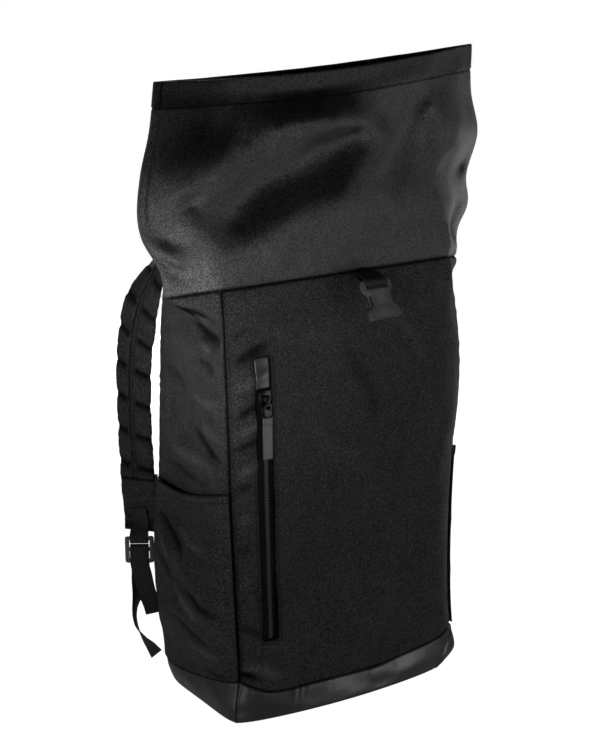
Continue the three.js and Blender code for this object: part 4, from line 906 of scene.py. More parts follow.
def leather_material(name, level, rough, depth):
    """Smooth faux leather with a fine pebble grain."""
    made = Finish(name)
    place = made.object_place()
    cells = made.new("TexVoronoi", Vector=place, Scale=900)
    grain = made.noise(place, 420, 3.0, 0.6)
    return made.set({
        "Base Color": made.ramp(made.noise(place, 14, 3.0), [(0.35, 0.72 * level), (0.65, level)]),
        "Roughness": made.add(made.times(grain, 0.2), rough - 0.1),
        "Normal": made.bump(made.add(cells.outputs["Distance"], grain), depth),
        # The specular level is dimmed by the painted shade in weave's last value.
        "Specular IOR Level": made.times(made.painted_light_scale(), 0.5),
    })


def webbing_material(name, levels, rib, gloss=0.3):
    """Ribbed black webbing, woven in fine chevrons along its length."""
    made = Finish(name)
    place = made.flat_place()
    x, y, _ = made.split(place)
    ribs = made.waves(x, rib)
    picks = made.waves(made.add(y, made.times(ribs, 0.35)), 0.9)
    height = made.add(made.times(ribs, 0.6), made.times(picks, 0.5))
    fleck = made.add(made.noise(place, 1.4, 2.0, 0.6), made.times(height, 0.06))
    return made.set({
        "Base Color": made.ramp(fleck, [(0.42, levels[0]), (0.7, levels[1])]),
        "Roughness": 0.72,
        "Normal": made.bump(height, 0.12),
        "Specular IOR Level": gloss,
    })


def plastic_material(name, level, rough, grain_depth=0.02, gloss=0.5):
    """Moulded plastic with a faint spark-eroded grain."""
    made = Finish(name)
    place = made.object_place()
    grain = made.noise(place, 1800, 2.0, 0.6)
    return made.set({
        "Base Color": made.ramp(made.noise(place, 60), [(0.35, 0.85 * level), (0.65, level)]),
        "Roughness": made.add(made.times(grain, 0.12), rough - 0.06),
        "Normal": made.bump(grain, grain_depth),
        "Specular IOR Level": gloss,
    })


FINE_FLECKS = (0.65, 0.8)
BODY = cloth_material("body_twill", (0.0015, 0.046), 1.25, 0.55, 0.35, 2.6, 0.35, FINE_FLECKS)
COATED = cloth_material("collar_coated", (0.002, 0.04), 0.9, 0.42, 0.14, 1.8, 0.6, FINE_FLECKS)

# Each look's material and its slot.
LOOKS = {
    "body": (BODY, "body_cloth"),
    "collar": (COATED, "collar_cloth"),
    "back": (cloth_material("back_mesh", (0.003, 0.0405), 2.2, 0.7, 0.3, 2.0), "body_cloth"),
    "leather": (leather_material("base_leather", 0.018, 0.42, 0.04), "base_leather"),
    "webbing": (webbing_material("ribbed_webbing", (0.003, 0.0302), 2.4), "webbing"),
    "tape": (webbing_material("zip_tape_weave", (0.001, 0.009), 1.6, 0.12), "webbing"),
    "thread": (webbing_material("sewing_thread", (0.004, 0.0202), 0.6), "webbing"),
    "plastic": (plastic_material("buckle_plastic", 0.07, 0.32), "hard_plastic"),
    "teeth": (plastic_material("zip_teeth", 0.055, 0.3, 0.01), "zip_teeth"),
    "enamel": (plastic_material("slider_enamel", 0.003, 0.26, 0.003, 0.11), "zip_enamel"),
}


def dress(obj, look, nodes=(), body="bag"):
    """Gives a piece its finish and the body it rides on, and hides the nodes it stands for."""
    finish, slot = LOOKS[look]
    obj.data.materials.clear()
    obj.data.materials.append(finish)
    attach(obj, body)
    if nodes:
        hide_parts(*nodes)
    return obj


# Cloth of the body.
def panel_sheet(name, side, along, z, away, under, flat, dark=0.0, keep=None):
    """A closed sheet on a panel, from under to away outwards. flat is the run across the flat cloth."""
    outer = panel_point(side, along, z, away)
    inner = panel_point(side, along, z, under)
    weave = np.stack(np.broadcast_arrays(flat, z, dark), axis=-1)
    return cloth_sheet(name, outer, inner, weave, keep=keep)


def side_or_back(side, name, seed):
    length = float(panel_length(side, np.array(BODY_HEIGHT / 2)))
    along = spaced(length, CLOTH_STEP)[:, None]
    ups = spaced(BODY_HEIGHT - 45, CLOTH_STEP)[None, :]
    z = mix(band_top(side, along) + GAP / 2, seam_height(side, along) - GAP / 2, ups)
    along = along + 0 * z
    folds = panel_folds(side, along, z)
    away = folds + cloth_detail(side, along, z, seed)
    thick = CLOTH + 0 * z
    if side == "back":
        padded = smooth(0.03, 0.14, along) * smooth(0.03, 0.14, 1 - along)
        padded = padded * smooth(0, 0.08, ups) * smooth(0, 0.08, 1 - ups)
        thick = mix(CLOTH, BACK_PADDING, padded)
        away = away + back_quilting(along, z, length) * padded
    start, end = along * length, (1 - along) * length
    # Painted shade along the panel's seams, and painted shade and highlight on its creases.
    dark = shade(start, end, seam_height(side, along) - z, z - band_top(side, along))
    if side != "back":
        dark = over(dark, painted_crease_light(panel_relief(CREASES[side], side, along, z)))
    return panel_sheet(name, side, along, z, away, folds - thick, start, dark)


def painted_crease_light(depth):
    """Painted shade in the bottoms of creases and painted highlight on their ridges."""
    return 0.8 * smooth(0.3, 2.6, -depth) - 0.9 * smooth(0.4, 2.4, depth)


def back_quilting(along, z, length):
    """Sewn channels of the padded back: one upright down the middle and slanted ones beside it."""
    middle = np.abs(along - 0.5) * length
    slanted = np.abs(((z + 0.45 * middle) % 62) - 31)
    return 1.2 - 2.6 * bell(middle, 5) - 2.2 * bell(slanted, 4) * smooth(6, 16, middle)


def zip_left(z):
    return HALF_WIDTH * mix(ZIP_BOTTOM_PLACE, ZIP_TOP_PLACE, (z - ZIP_BOTTOM) / (ZIP_TOP - ZIP_BOTTOM))


def front_along(x, z):
    a = corner_seam("frontLeft", z)[0]
    b = corner_seam("frontRight", z)[0]
    return (x - a) / (b - a)


FRONT_WIDTH = 270.0
WINDOW_COLUMNS = (0.13, 0.19)
WINDOW_STITCH = 3.6
SEAM_STITCH = 3.2
FRONT_SEED = 11


def corner_inset(z):
    """How far the window's round corners come in at a height."""
    away = np.minimum(np.abs(ZIP_TOP - z), np.abs(z - ZIP_BOTTOM))
    inside = (z > ZIP_BOTTOM - 1e-6) & (z < ZIP_TOP + 1e-6)
    short = np.clip(ZIP_CORNER - away, 0, ZIP_CORNER)
    inset = ZIP_CORNER - np.sqrt(np.maximum(ZIP_CORNER**2 - short**2, 0))
    return np.where(inside, inset, ZIP_CORNER * np.exp(-away / 6))


def bent_along(column, z):
    """Place along the front of a column of the grid, which bends round the window."""
    inset = corner_inset(z)
    left = front_along(zip_left(z) + inset, z)
    right = front_along(zip_left(z) + ZIP_WIDTH - inset, z)
    low, high = WINDOW_COLUMNS
    inside = mix(left, right, (column - low) / (high - low))
    beyond = mix(right, 1, (column - high) / (1 - high))
    return np.where(column <= low, column / low * left, np.where(column <= high, inside, beyond))


def window_away(x, z):
    """Distance from the window's edge, outside it."""
    middle = zip_left(z) + ZIP_WIDTH / 2
    aside = np.abs(x - middle) - (ZIP_WIDTH / 2 - ZIP_CORNER)
    above = np.abs(z - (ZIP_TOP + ZIP_BOTTOM) / 2) - ((ZIP_TOP - ZIP_BOTTOM) / 2 - ZIP_CORNER)
    return np.hypot(np.maximum(aside, 0), np.maximum(above, 0)) - ZIP_CORNER


def front_panel():
    low, high = WINDOW_COLUMNS
    left = spaced(low * FRONT_WIDTH, 1.2) * low
    window = low + (high - low) * np.linspace(0, 1, 7)
    right = high + spaced((1 - high) * FRONT_WIDTH, CLOTH_STEP) * (1 - high)
    columns = np.concatenate([left, window[1:-1], right])
    bottom = spaced(55, 2.0)
    middle = spaced(ZIP_TOP - ZIP_BOTTOM, CLOTH_STEP)
    top = spaced(BODY_HEIGHT - ZIP_TOP, 2.0)
    column = columns[:, None]
    along = column + 0.0
    for _ in range(4):
        foot = band_top("front", np.clip(along, 0, 1))
        along = np.clip(bent_along(column, foot), 0, 1)
    foot = foot + GAP / 2
    parts = [
        mix(foot, ZIP_BOTTOM, bottom[None, :-1]),
        mix(ZIP_BOTTOM, ZIP_TOP, middle[None, :]) + 0 * foot,
        mix(ZIP_TOP, BODY_HEIGHT - GAP / 2, top[None, 1:]) + 0 * foot,
    ]
    z = np.concatenate(parts, axis=1)
    along = np.clip(bent_along(column, z), 0, 1)
    x, _ = panel_place("front", along, z)
    edge = window_away(x, z)
    folds = panel_folds("front", along, z)
    start, end = along * FRONT_WIDTH, (1 - along) * FRONT_WIDTH
    away = folds + cloth_detail("front", along, z, FRONT_SEED)
    away = away + 0.12 * puckers(z, np.abs(edge - 4), 7, 5, 31)
    away = away + groove(edge, 0.8, 1.2) + 0.35 * bell(edge - 2, 1.4)
    away = away + groove(edge - WINDOW_STITCH, 0.5, 0.7) + groove(start - SEAM_STITCH, 0.35, 0.7)
    keep = np.ones((len(columns) - 1, z.shape[1] - 1), bool)
    keep[len(left) - 1 : len(left) + 5, len(bottom) - 1 : len(bottom) + len(middle) - 2] = False
    # Painted shade along the seams, round the window's edge and along the stitch rows, and painted shade
    # and highlight on the creases.
    dark = shade(start, end, BODY_HEIGHT - z, z - band_top("front", along), np.maximum(edge, 0))
    dark = np.maximum(dark, 0.5 * shade(edge - WINDOW_STITCH, start - SEAM_STITCH, reach=0.8))
    dark = over(dark, painted_crease_light(panel_relief(FRONT_CREASES, "front", along, z)))
    return panel_sheet("front_cloth", "front", along, z, away, folds - CLOTH, x, dark, keep)


def front_run(along, z, away):
    """A run of points on the front's face and the directions out of it."""
    along, z = np.broadcast_arrays(along, z)
    depth = panel_folds("front", along, z) + cloth_detail("front", along, z, FRONT_SEED)
    ox, oy = mitre_out("front", along, z)
    return panel_point("front", along, z, depth + away), np.stack([ox, oy, 0 * ox], axis=-1)


# Collar. COLLAR_SIDE is the share of each layer that is sewn to a side panel.
COLLAR_SIDE = {"front": 0.11, "back": 0.2}


def collar_seam(layer, u):
    front = layer == "front"
    edge = COLLAR_SIDE[layer]
    inner = np.clip((u - edge) / (1 - 2 * edge), 0, 1)
    along = inner if front else 1 - inner
    z = seam_height(layer, along)
    x, y = panel_place(layer, along, z)
    for side, share, fold in (("left", u, u < edge), ("right", 1 - u, u > 1 - edge)):
        start = 1 - FOLD_PLACE if side == "left" else FOLD_PLACE
        corner = (1.0 if side == "left" else 0.0) if front else (0.0 if side == "left" else 1.0)
        on_side = mix(start, corner, np.clip(share / edge, 0, 1))
        side_z = seam_height(side, on_side)
        side_x, side_y = panel_place(side, on_side, side_z)
        x, y, z = np.where(fold, side_x, x), np.where(fold, side_y, y), np.where(fold, side_z, z)
    return x, y, z


def rim_height(u):
    return BODY_HEIGHT + COLLAR_HEIGHT + RIM_TILT * read(RIM_LIFT, "u", "z", u)


def collar_place(layer, u, v):
    u, v = np.broadcast_arrays(u, v)
    sx, sy, sz = collar_seam(layer, u)
    half = COLLAR_WIDTH / 2
    left, right = read(COLLAR_SECTIONS, "v", "left", v), read(COLLAR_SECTIONS, "v", "right", v)
    x = mix(-left * half, right * half, u)
    swell = 1 - np.abs(2 * u - 1) ** read(COLLAR_SECTIONS, "v", "power", v)
    way = -1 if layer == "front" else 1
    bow = read(COLLAR_SECTIONS, "v", "bow" if layer == "front" else "bowBack", v)
    share = smooth(0, 0.3, v)
    at_edge = 1 - smooth(0, 0.07, np.minimum(u, 1 - u))
    apart = way * (COLLAR_CLOTH + HEM_STEP + GAP / 2)
    y = read(COLLAR_SECTIONS, "v", "y", v) + way * bow * swell
    z = mix(sz + GAP / 2, rim_height(u), v)
    return np.stack([mix(sx, x, share), mix(sy + apart * at_edge, y + apart, share), z], axis=-1)


def collar_out(layer, u, v):
    step = 0.008
    start, end = np.clip(u - step, 0, 1), np.clip(u + step, 0, 1)
    run = collar_place(layer, end, v) - collar_place(layer, start, v)
    way = 1 if layer == "front" else -1
    return unit(np.stack([way * run[..., 1], -way * run[..., 0], 0 * run[..., 0]], axis=-1))


def collar_folds(layer, u, v):
    """How far the collar's main folds stand out."""
    u, v = np.broadcast_arrays(u, v)
    fade = smooth(0, 0.04, v) * smooth(0, 0.1, 1 - v) * smooth(0, 0.01, u) * smooth(0, 0.01, 1 - u)
    if layer == "back":
        size = (COLLAR_WIDTH, COLLAR_HEIGHT)
        return fade * 0.6 * relief(COLLAR_FOLDS, (1 - u) * size[0], v * size[1], size)
    size = (COLLAR_WIDTH, HEM_LINE)
    lines = [(level, [(x, y * COLLAR_HEIGHT / size[1]) for x, y in path]) for level, path in COLLAR_LINES]
    return fade * spanned(lines, u * size[0], v * COLLAR_HEIGHT, size, 3.0)


def collar_shade(layer, u, v):
    """Painted shade on the upward slopes of the collar's folds and, on its front layer, painted highlight
    on the downward ones, a painted dark patch at its upper left and a painted dark line along its left
    edge's fold.
    """
    step = 1.5 / COLLAR_HEIGHT
    rise = collar_folds(layer, u, v + step) - collar_folds(layer, u, v - step)
    slopes = np.clip(-1.3 * rise / (2 * step * COLLAR_HEIGHT), -0.45, 0.6)
    if layer == "back":
        return np.maximum(slopes, 0)
    painted_patch_shade = 0.4 * smooth(0.3, 0.12, u) * smooth(0.4, 0.62, v)
    edge = 0.7 * shade(u * COLLAR_WIDTH - 5, reach=1.4) * smooth(0.28, 0.42, v)
    return np.maximum(over(painted_patch_shade, slopes), edge)


def collar_surface(layer, u, v, depth):
    u, v = np.broadcast_arrays(u, v)
    flat_u, flat_z = u * COLLAR_WIDTH, v * COLLAR_HEIGHT
    seed = 51 if layer == "front" else 71
    wide = smooth(0, 0.05, u) * smooth(0, 0.05, 1 - u) * smooth(0, 0.1, v) * smooth(0, 0.12, 1 - v)
    soft = 0.9 * ripples(flat_u, flat_z, 80, seed) + 0.3 * ripples(flat_u, flat_z, 30, seed + 1)
    hem_line = HEM_LINE - flat_z
    sewn = 0.3 * puckers(flat_u, np.abs(hem_line), 11, 7, seed + 3) + groove(hem_line, 0.7, 1.1)
    seam = groove(flat_z, 1.3, 1.8) + 0.3 * puckers(flat_u, flat_z, 16, 12, seed + 5)
    rim = 0.25 * ripples(flat_u, flat_u * 0, 40, seed + 7) * smooth(0.8, 1, v)
    displaced = collar_folds(layer, u, v) + wide * soft + sewn + seam + rim
    return collar_place(layer, u, v) + collar_out(layer, u, v) * (displaced - depth)[..., None]


def collar():
    """Both layers of the collar as one wall that turns round at its two side folds."""
    shares = spaced(COLLAR_WIDTH, 2.3, 0.7, 5)[:, None]
    ups = spaced(HEM_LINE, CLOTH_STEP) * HEM_LINE
    hem = HEM_LINE + spaced(HEM_HEIGHT, 1.8, 0.6, 2.5)[1:] * HEM_HEIGHT
    v = (np.concatenate([ups, hem]) / COLLAR_HEIGHT)[None, :]
    up = v * COLLAR_HEIGHT
    step = HEM_STEP * smooth(-0.4, 0.6, up - HEM_LINE)
    round_top = 0.5 * smooth(1.4, 0, COLLAR_HEIGHT - up)
    rings = []
    for depth, sign in ((0, -1), (COLLAR_CLOTH, 1)):
        offset = depth + sign * (step - round_top)
        front = collar_surface("front", shares, v, offset)
        back = collar_surface("back", shares, v, offset)[::-1]
        turns = fold_turn(front[-1], back[0]), fold_turn(back[-1], front[0])
        rings.append(np.concatenate([front, turns[0], back, turns[1]]))
    flat = np.linalg.norm(np.diff(rings[0], axis=0), axis=-1).mean(axis=1)
    flat = np.concatenate([[0], np.cumsum(flat)])[:, None]
    # Painted shade and highlight of the folds' slopes, painted shade at the bottom seam and along the hem
    # line, and the band above the hem made darker.
    front, back = collar_shade("front", shares, v), collar_shade("back", shares, v)[::-1]
    turn = np.zeros((len(rings[0]) // 2 - len(front), front.shape[1]))
    folds = np.concatenate([front, turn, back, turn]) + 0.3 * smooth(-1, 1, up - HEM_LINE)
    seams = np.maximum(shade(up, reach=2.2), 0.75 * shade(up - HEM_LINE, reach=1.0))
    weave = np.stack(np.broadcast_arrays(flat, up, over(seams, folds)), axis=-1)
    return cloth_sheet("collar_cloth", rings[0], rings[1], weave, wrap=True)


def fold_turn(start, end, steps=5):
    """Half circle of rows from one layer's edge to the other's, outwards from the bag."""
    middle, reach = (start + end) / 2, (end - start) / 2
    radius = np.linalg.norm(reach, axis=-1, keepdims=True)
    away = np.sign(middle[:, :1]) * np.array([1.0, 0, 0])
    rows = []
    for k in range(1, steps):
        angle = math.pi * k / steps
        rows.append(middle - reach * math.cos(angle) + away * radius * math.sin(angle))
    return np.array(rows)


# Side pockets.
def side_pocket(side, name, seed):
    length = float(panel_length(side, np.array(150.0)))
    first, last, power = (0.02, 0.992, 3) if side == "left" else (0.015, 0.98, 2)
    share = spaced(length * 0.96, 2.0)[:, None]
    along = mix(first, last, share)
    up = np.concatenate([spaced(185, 2.0)[:-1], [1]])[None, :]
    top = BODY_HEIGHT * read(POCKET_TOP, "fromBack", "z", along if side == "left" else 1 - along)
    low = band_top(side, along) + GAP
    z = mix(low, top, up)
    along = along + 0 * z
    swell = (1 - np.abs(2 * share - 1) ** power) * mix(0.35, 1, smooth(0, 0.4, up))
    taper = mix(1, 0.18, smooth(0.62, 1, up))
    fine = panel_relief(POCKET_CREASES, side, along, z)
    folds = (panel_relief(POCKET_FOLDS, side, along, z) + fine) * swell * smooth(0, 0.15, 1 - up)
    stand = 0.9 + GAP + POCKET_DEPTH * swell * taper + np.maximum(folds, -POCKET_DEPTH * 0.45 * swell)
    flat, drop = along * length, top - z
    lively = smooth(0, 8, np.minimum(share, 1 - share) * length)
    stitched = drop - POCKET_HEM
    hem = 0.45 * puckers(flat, np.abs(stitched + 0.5), 6.5, 9, seed) * lively + groove(stitched, 0.5, 0.8)
    soft = 0.5 * ripples(flat, z, 40, seed + 2) * lively * smooth(0, 12, drop) * smooth(0, 10, z - low)
    seam = 0.4 * puckers(flat, z - low, 13, 9, seed + 4) * lively
    thick = CLOTH + 0.8 * smooth(0.7, -0.3, stitched)
    away = stand + thick + hem + soft + seam
    under = stand + hem * 0.6 + soft + seam * 0.5
    # Painted shade along the bottom seam, the hem's stitch line and the top edge, and painted shade and
    # highlight on the creases.
    dark = np.maximum(shade(z - low), 0.8 * shade(stitched, drop, drop - 1.6, reach=0.9))
    dark = over(dark, painted_crease_light(fine))
    return panel_sheet(name, side, along, z, away, under, flat, dark)


# Base.
def boot_heights(top):
    """Heights of the base's wall, closer together at its round foot and at its turned top edge."""
    foot, wall = [0.0, 0.35, 1.1, 2.2, FOOT_ROUND], mix(BASE_EDGE, top - 2.4, np.linspace(0, 1, 15))
    return np.concatenate([foot, wall, top - np.array([1.8, 1.2, 0.6, 0.0])])


def boot_face(side, at, length, run, z, top):
    """How far the base's wall stands out at a place along a side, at each height."""
    foot = np.clip(1 - z / FOOT_ROUND, 0, 1)
    inset = 1.6 * (1 - np.sqrt(np.maximum(1 - foot**2, 0)))
    seam_at = at if side == "front" else min(at, length - at)
    away = -inset - 1.1 * bell(seam_at, 1.3) * smooth(0, 5, z) + groove(top - z, 0.9, 1.1)
    if side == "front":
        line = length - at - np.interp(z, CORNER_SEAM["z"], CORNER_SEAM["inset"])
        away = away - 1.2 * bell(line, 1.1) + 1.0 * bell(line + 3.0, 1.8)
        away = away + 0.6 * bell(at - 16, 16) * bell(top - z - 2.6, 1.4)
    flat = np.full(z.shape, run + at)
    away = away + 0.3 * puckers(flat, top - z, 15, 9, 91) * smooth(0, 10, z)
    away = away + 0.35 * ripples(flat, z * 2, 60, 93) * smooth(0, 14, z)
    # Weave's last value is painted shade along the top edge and the corner seams, which dims the
    # leather's specular level.
    return away, np.stack([flat, z, shade(top - z, seam_at + 0 * z, reach=1.4)], axis=-1)


def base_boot():
    """Tray of faux leather with a turned top edge, upright corner seams and a flat underside."""
    outer, inner, flats = [], [], []
    run = 0.0
    for side, step in (("front", 2.2), ("right", 2.2), ("back", 3.0), ("left", 2.2)):
        length = float(panel_length(side, np.array(20.0)))
        for share in spaced(length, step, 0.6, 4)[:-1]:
            top = float(band_top(side, np.array(share))) - GAP / 2
            z = boot_heights(top)
            away, flat = boot_face(side, share * length, length, run, z, top)
            outer.append(panel_point(side, share, z, away))
            inner_z = np.maximum(z, BASE_THICKNESS)
            inner.append(panel_point(side, share, inner_z, np.minimum(away, 0) - BASE_THICKNESS))
            flats.append(flat)
        run += length
    outer, inner = np.array(outer), np.array(inner)
    rows, columns = outer.shape[:2]
    layer = rows * columns
    face = grid_faces(rows, columns, wrap=True)
    here = np.arange(rows) * columns
    there = (np.arange(rows) + 1) % rows * columns
    rim, next_rim = here + columns - 1, there + columns - 1
    top_rim = np.stack([rim, next_rim, next_rim + layer, rim + layer], axis=1)
    faces = np.concatenate([face, face[:, ::-1] + layer, top_rim]).tolist()
    under, above = 2 * layer, 2 * layer + 1
    faces += [[under, int(b), int(a)] for a, b in zip(here, there)]
    faces += [[above, int(a + layer), int(b + layer)] for a, b in zip(here, there)]
    middles = [[0, 0, 0], [0, 0, BASE_THICKNESS]]
    points = np.concatenate([outer.reshape(-1, 3), inner.reshape(-1, 3), middles])
    flat = np.array(flats).reshape(-1, 3)
    weave = np.concatenate([flat, flat, np.zeros((2, 3))])
    return new_object("base_leather_tray", points, faces, weave, 40)


# Zip.
def zip_tape():
    """A strip behind the front panel's window, a little larger than it all round."""
    edge = TAPE_EDGE / ZIP_WIDTH
    across = np.linspace(-edge, 1 + edge, 9)[:, None]
    low, high = ZIP_BOTTOM - TAPE_EDGE, ZIP_TOP + TAPE_EDGE
    z = np.linspace(low, high, int((high - low) / 3))[None, :]
    along = front_along(zip_left(z) + ZIP_WIDTH * across, z)
    folds = panel_folds("front", along, z) - CLOTH - 2 * GAP
    return panel_sheet("zip_tape_cloth", "front", along, z, folds, folds - 0.9, across * ZIP_WIDTH)


def zip_patch():
    """Faux leather patch over the zip's upper end, with round top corners."""
    z_low, z_high = ZIP_TOP - PATCH_HEIGHT, ZIP_TOP - GAP
    z = (z_low + spaced(z_high - z_low, 1.2, 0.4, 3) * (z_high - z_low))[None, :]
    inset = corner_inset(np.minimum(z, ZIP_TOP - 0.25)) + 0.35
    share = spaced(ZIP_WIDTH, 1.0, 0.35, 1.6)[:, None]
    x = mix(zip_left(z) + inset, zip_left(z) + ZIP_WIDTH - inset, share)
    along = front_along(x, z)
    edge = np.minimum(np.minimum(share, 1 - share) * ZIP_WIDTH, z - z_low)
    folds = panel_folds("front", along, z)
    away = folds - 0.5 + 0.35 * smooth(0, 1.2, edge) + 0.5 * (1 - (2 * share - 1) ** 2)
    return panel_sheet("zip_end_patch", "front", along, z, away, folds - 1.7, x)


TOOTH_PLACES = np.array([0.15, 0.3, 0.62, 0.9, 1.0])
TOOTH_FAT = 0.62 * np.array([0.75, 1.0, 0.9, 0.8, 0.4])
TOOTH_SIDES = 6


def zip_teeth():
    """Slanted coil teeth on both sides of the chain's middle line."""
    top, bottom = ZIP_TOP - PATCH_HEIGHT - 3, ZIP_BOTTOM + 2
    middle = ZIP_WIDTH * CHAIN_FROM + CHAIN_WIDTH / 2
    tubes = []
    for k in range(int((top - bottom) / TOOTH_PITCH)):
        for way in (-1, 1):
            z0 = bottom + (k + (0.5 if way > 0 else 0)) * TOOTH_PITCH
            reach = way * TOOTH_PLACES * (CHAIN_WIDTH / 2 - 0.2) - way * 0.8
            z = z0 + np.abs(reach) * 0.55
            along = front_along(zip_left(z) + middle + reach, z)
            depth = panel_folds("front", along, z) - 1.1 - 0.35 * TOOTH_PLACES**2
            centre = panel_point("front", along, z, depth)
            run = unit(np.gradient(centre, axis=0))
            side = unit(np.cross(run, np.array([0, -1.0, 0])))
            rings = tube(centre, side * 1.15, np.cross(side, run), TOOTH_FAT, TOOTH_SIDES)
            tubes.append((rings, 0 * z))
    return short_tubes("zip_coil", tubes, crease=60)


# Hard parts, made by extruding outlines and rounding their edges.
def plate(name, outline, thickness, holes=(), bevel=0.0):
    """A flat plate in its own XY plane from an outline, with holes cut through and its edges rounded."""
    work = bmesh.new()
    work.faces.new([work.verts.new((x * MM, y * MM, -thickness / 2 * MM)) for x, y in outline])
    made = bmesh.ops.extrude_face_region(work, geom=list(work.faces))
    up = [v for v in made["geom"] if isinstance(v, bmesh.types.BMVert)]
    bmesh.ops.translate(work, verts=up, vec=(0, 0, thickness * MM))
    bmesh.ops.recalc_face_normals(work, faces=work.faces)
    obj = finished(work, name)
    for low, high in holes:
        cut(obj, block(low, high))
    if bevel:
        round_edges(obj, bevel)
    return obj


def block(low, high):
    """A plain box between two corners, used to cut others."""
    low, high = np.array(low, float), np.array(high, float)
    work = bmesh.new()
    bmesh.ops.create_cube(work, size=1)
    bmesh.ops.scale(work, vec=Vector((high - low) * MM), verts=work.verts)
    bmesh.ops.translate(work, vec=Vector((high + low) / 2 * MM), verts=work.verts)
    return finished(work, "cutter")


def apply_modifiers(obj):
    view = bpy.context.evaluated_depsgraph_get()
    mesh = bpy.data.meshes.new_from_object(obj.evaluated_get(view))
    obj.modifiers.clear()
    old = obj.data
    obj.data = mesh
    bpy.data.meshes.remove(old)


def boolean(obj, other, operation):
    change = obj.modifiers.new("join", "BOOLEAN")
    change.operation = operation
    change.solver = "EXACT"
    change.object = other
    bpy.context.view_layer.update()
    apply_modifiers(obj)
    mesh = other.data
    bpy.data.objects.remove(other)
    bpy.data.meshes.remove(mesh)


def cut(obj, other):
    boolean(obj, other, "DIFFERENCE")


def join(obj, other):
    boolean(obj, other, "UNION")


def round_edges(obj, width, segments=3):
    change = obj.modifiers.new("round", "BEVEL")
    change.width = width * MM
    change.segments = segments
    change.limit_method = "ANGLE"
    change.angle_limit = math.radians(32)
    change.use_clamp_overlap = True
    change.harden_normals = False
    bpy.context.view_layer.update()
    apply_modifiers(obj)
    obj.data.shade_smooth()
    obj.data.set_sharp_from_angle(angle=math.radians(40))


def round_bar(radius, start, end, sides=20):
    """A round bar between two places."""
    start, end = np.array(start, float), np.array(end, float)
    work = bmesh.new()
    depth = float(np.linalg.norm(end - start)) * MM
    bmesh.ops.create_cone(
        work, cap_ends=True, segments=sides, radius1=radius * MM, radius2=radius * MM, depth=depth
    )
    turn = Vector(end - start).to_track_quat("Z", "Y").to_matrix().to_4x4()
    move = Matrix.Translation(Vector((start + end) / 2 * MM)) @ turn
    bmesh.ops.transform(work, matrix=move, verts=work.verts)
    return finished(work, "bar")


def place(obj, matrix):
    obj.data.transform(matrix)
    obj.data.update()


def outline_curve(start=0.0, steps=5):
    """Both sides of the buckle's outline as one ring of points, rounded between its rows."""
    rows = BUCKLE_OUTLINE
    shares = []
    for a, b in zip(rows["l"][:-1], rows["l"][1:]):
        if b > start:
            shares += list(np.linspace(max(a, start), b, steps, endpoint=False))
    shares.append(1.0)
    shares = np.array(shares)
    half = np.interp(shares, rows["l"], rows["w"])
    kernel = np.array([half[0], *half, half[-1]])
    half = (kernel[:-2] + 2 * kernel[1:-1] + kernel[2:]) / 4
    right = [(w, -l * BUCKLE_LENGTH) for l, w in zip(shares, half)]
    left = [(-w, y) for w, y in right][::-1]
    return right + left


def buckle_anchor():
    z = np.array(float(BODY_HEIGHT))
    along = front_along(BUCKLE_X, z)
    _, y = panel_place("front", along, z)
    return np.array([BUCKLE_X, float(y), BODY_HEIGHT - 1.5])


def buckle_top():
    return buckle_anchor() + (0, -BUCKLE_STAND_OFF, -4.5)


def buckle_socket():
    obj = plate("buckle_socket_shell", outline_curve(), BUCKLE_FRAME_THICKNESS)
    join(obj, plate("body", outline_curve(BUCKLE_BODY_START), BUCKLE_THICKNESS))
    slot = BUCKLE_WEBBING_WIDTH / 2 + 0.9
    high = BUCKLE_THICKNESS
    cut(obj, block((-slot, -BUCKLE_SLOT[1], -high), (slot, -BUCKLE_SLOT[0], high)))
    half, up = MOUTH_HALF_WIDTH, MOUTH_HALF_HEIGHT
    cut(obj, block((-half, -BUCKLE_LENGTH - 2, -up), (half, -BUCKLE_LENGTH + MOUTH_DEPTH, up)))
    round_edges(obj, 0.7)
    turn = Matrix.Rotation(math.pi / 2 - BUCKLE_TILT, 4, "X")
    place(obj, Matrix.Translation(Vector(buckle_top() * MM)) @ turn)
    return obj


def webbing_section():
    """Section of webbing with round edges, in shares of half its width and of its thickness."""
    edge = WEBBING / WEBBING_WIDTH
    flat = np.linspace(-1 + edge, 1 - edge, 9)
    turn = np.radians([50, 0, -50])
    right = [(1 - edge * (1 - math.cos(angle)), 0.5 * math.sin(angle)) for angle in turn]
    left = [(-a, -b) for a, b in right]
    return np.array([(a, 0.5) for a in flat] + right + [(a, -0.5) for a in flat[::-1]] + left)


def webbing_band(name, at, across, count, width=WEBBING_WIDTH):
    """Webbing through points, its width along the given directions."""
    places, turned, out = stations(at, across, np.linspace(0, 1, count))
    a, b = webbing_section().T
    flat, lift = a * width / 2, b * WEBBING
    points = places[:, None] + turned[:, None] * flat[:, None] + out[:, None] * lift[:, None]
    return swept_points(name, points, flat)


def buckle_webbing():
    x, y, z = buckle_anchor()
    depth = BUCKLE_SLOT[0] / 2
    bar = buckle_top() + (0, -math.sin(BUCKLE_TILT) * depth, -math.cos(BUCKLE_TILT) * depth)
    radius = math.hypot(BUCKLE_SLOT[0], BUCKLE_FRAME_THICKNESS) / 2 + GAP + WEBBING / 2
    between = mix(y, bar[1], 0.4)
    at = [(x, y - 0.6, z - 0.3), (x, between, z + 0.5)]
    for angle in np.radians([100, 70, 35, 0, -35, -70, -100, -130]):
        at.append((x, bar[1] - math.cos(angle) * radius, bar[2] + math.sin(angle) * radius))
    at += [(x, between, z - 3.2), (x, y - 0.6, z - 2.6)]
    return webbing_band("buckle_webbing_loop", at, [(1, 0, 0)] * len(at), 90, BUCKLE_WEBBING_WIDTH)


# Shoulder straps.
def back_face(x, z):
    a = corner_seam("backRight", z)[0]
    b = corner_seam("backLeft", z)[0]
    return panel_place("back", (x - a) / (b - a), z)[1]


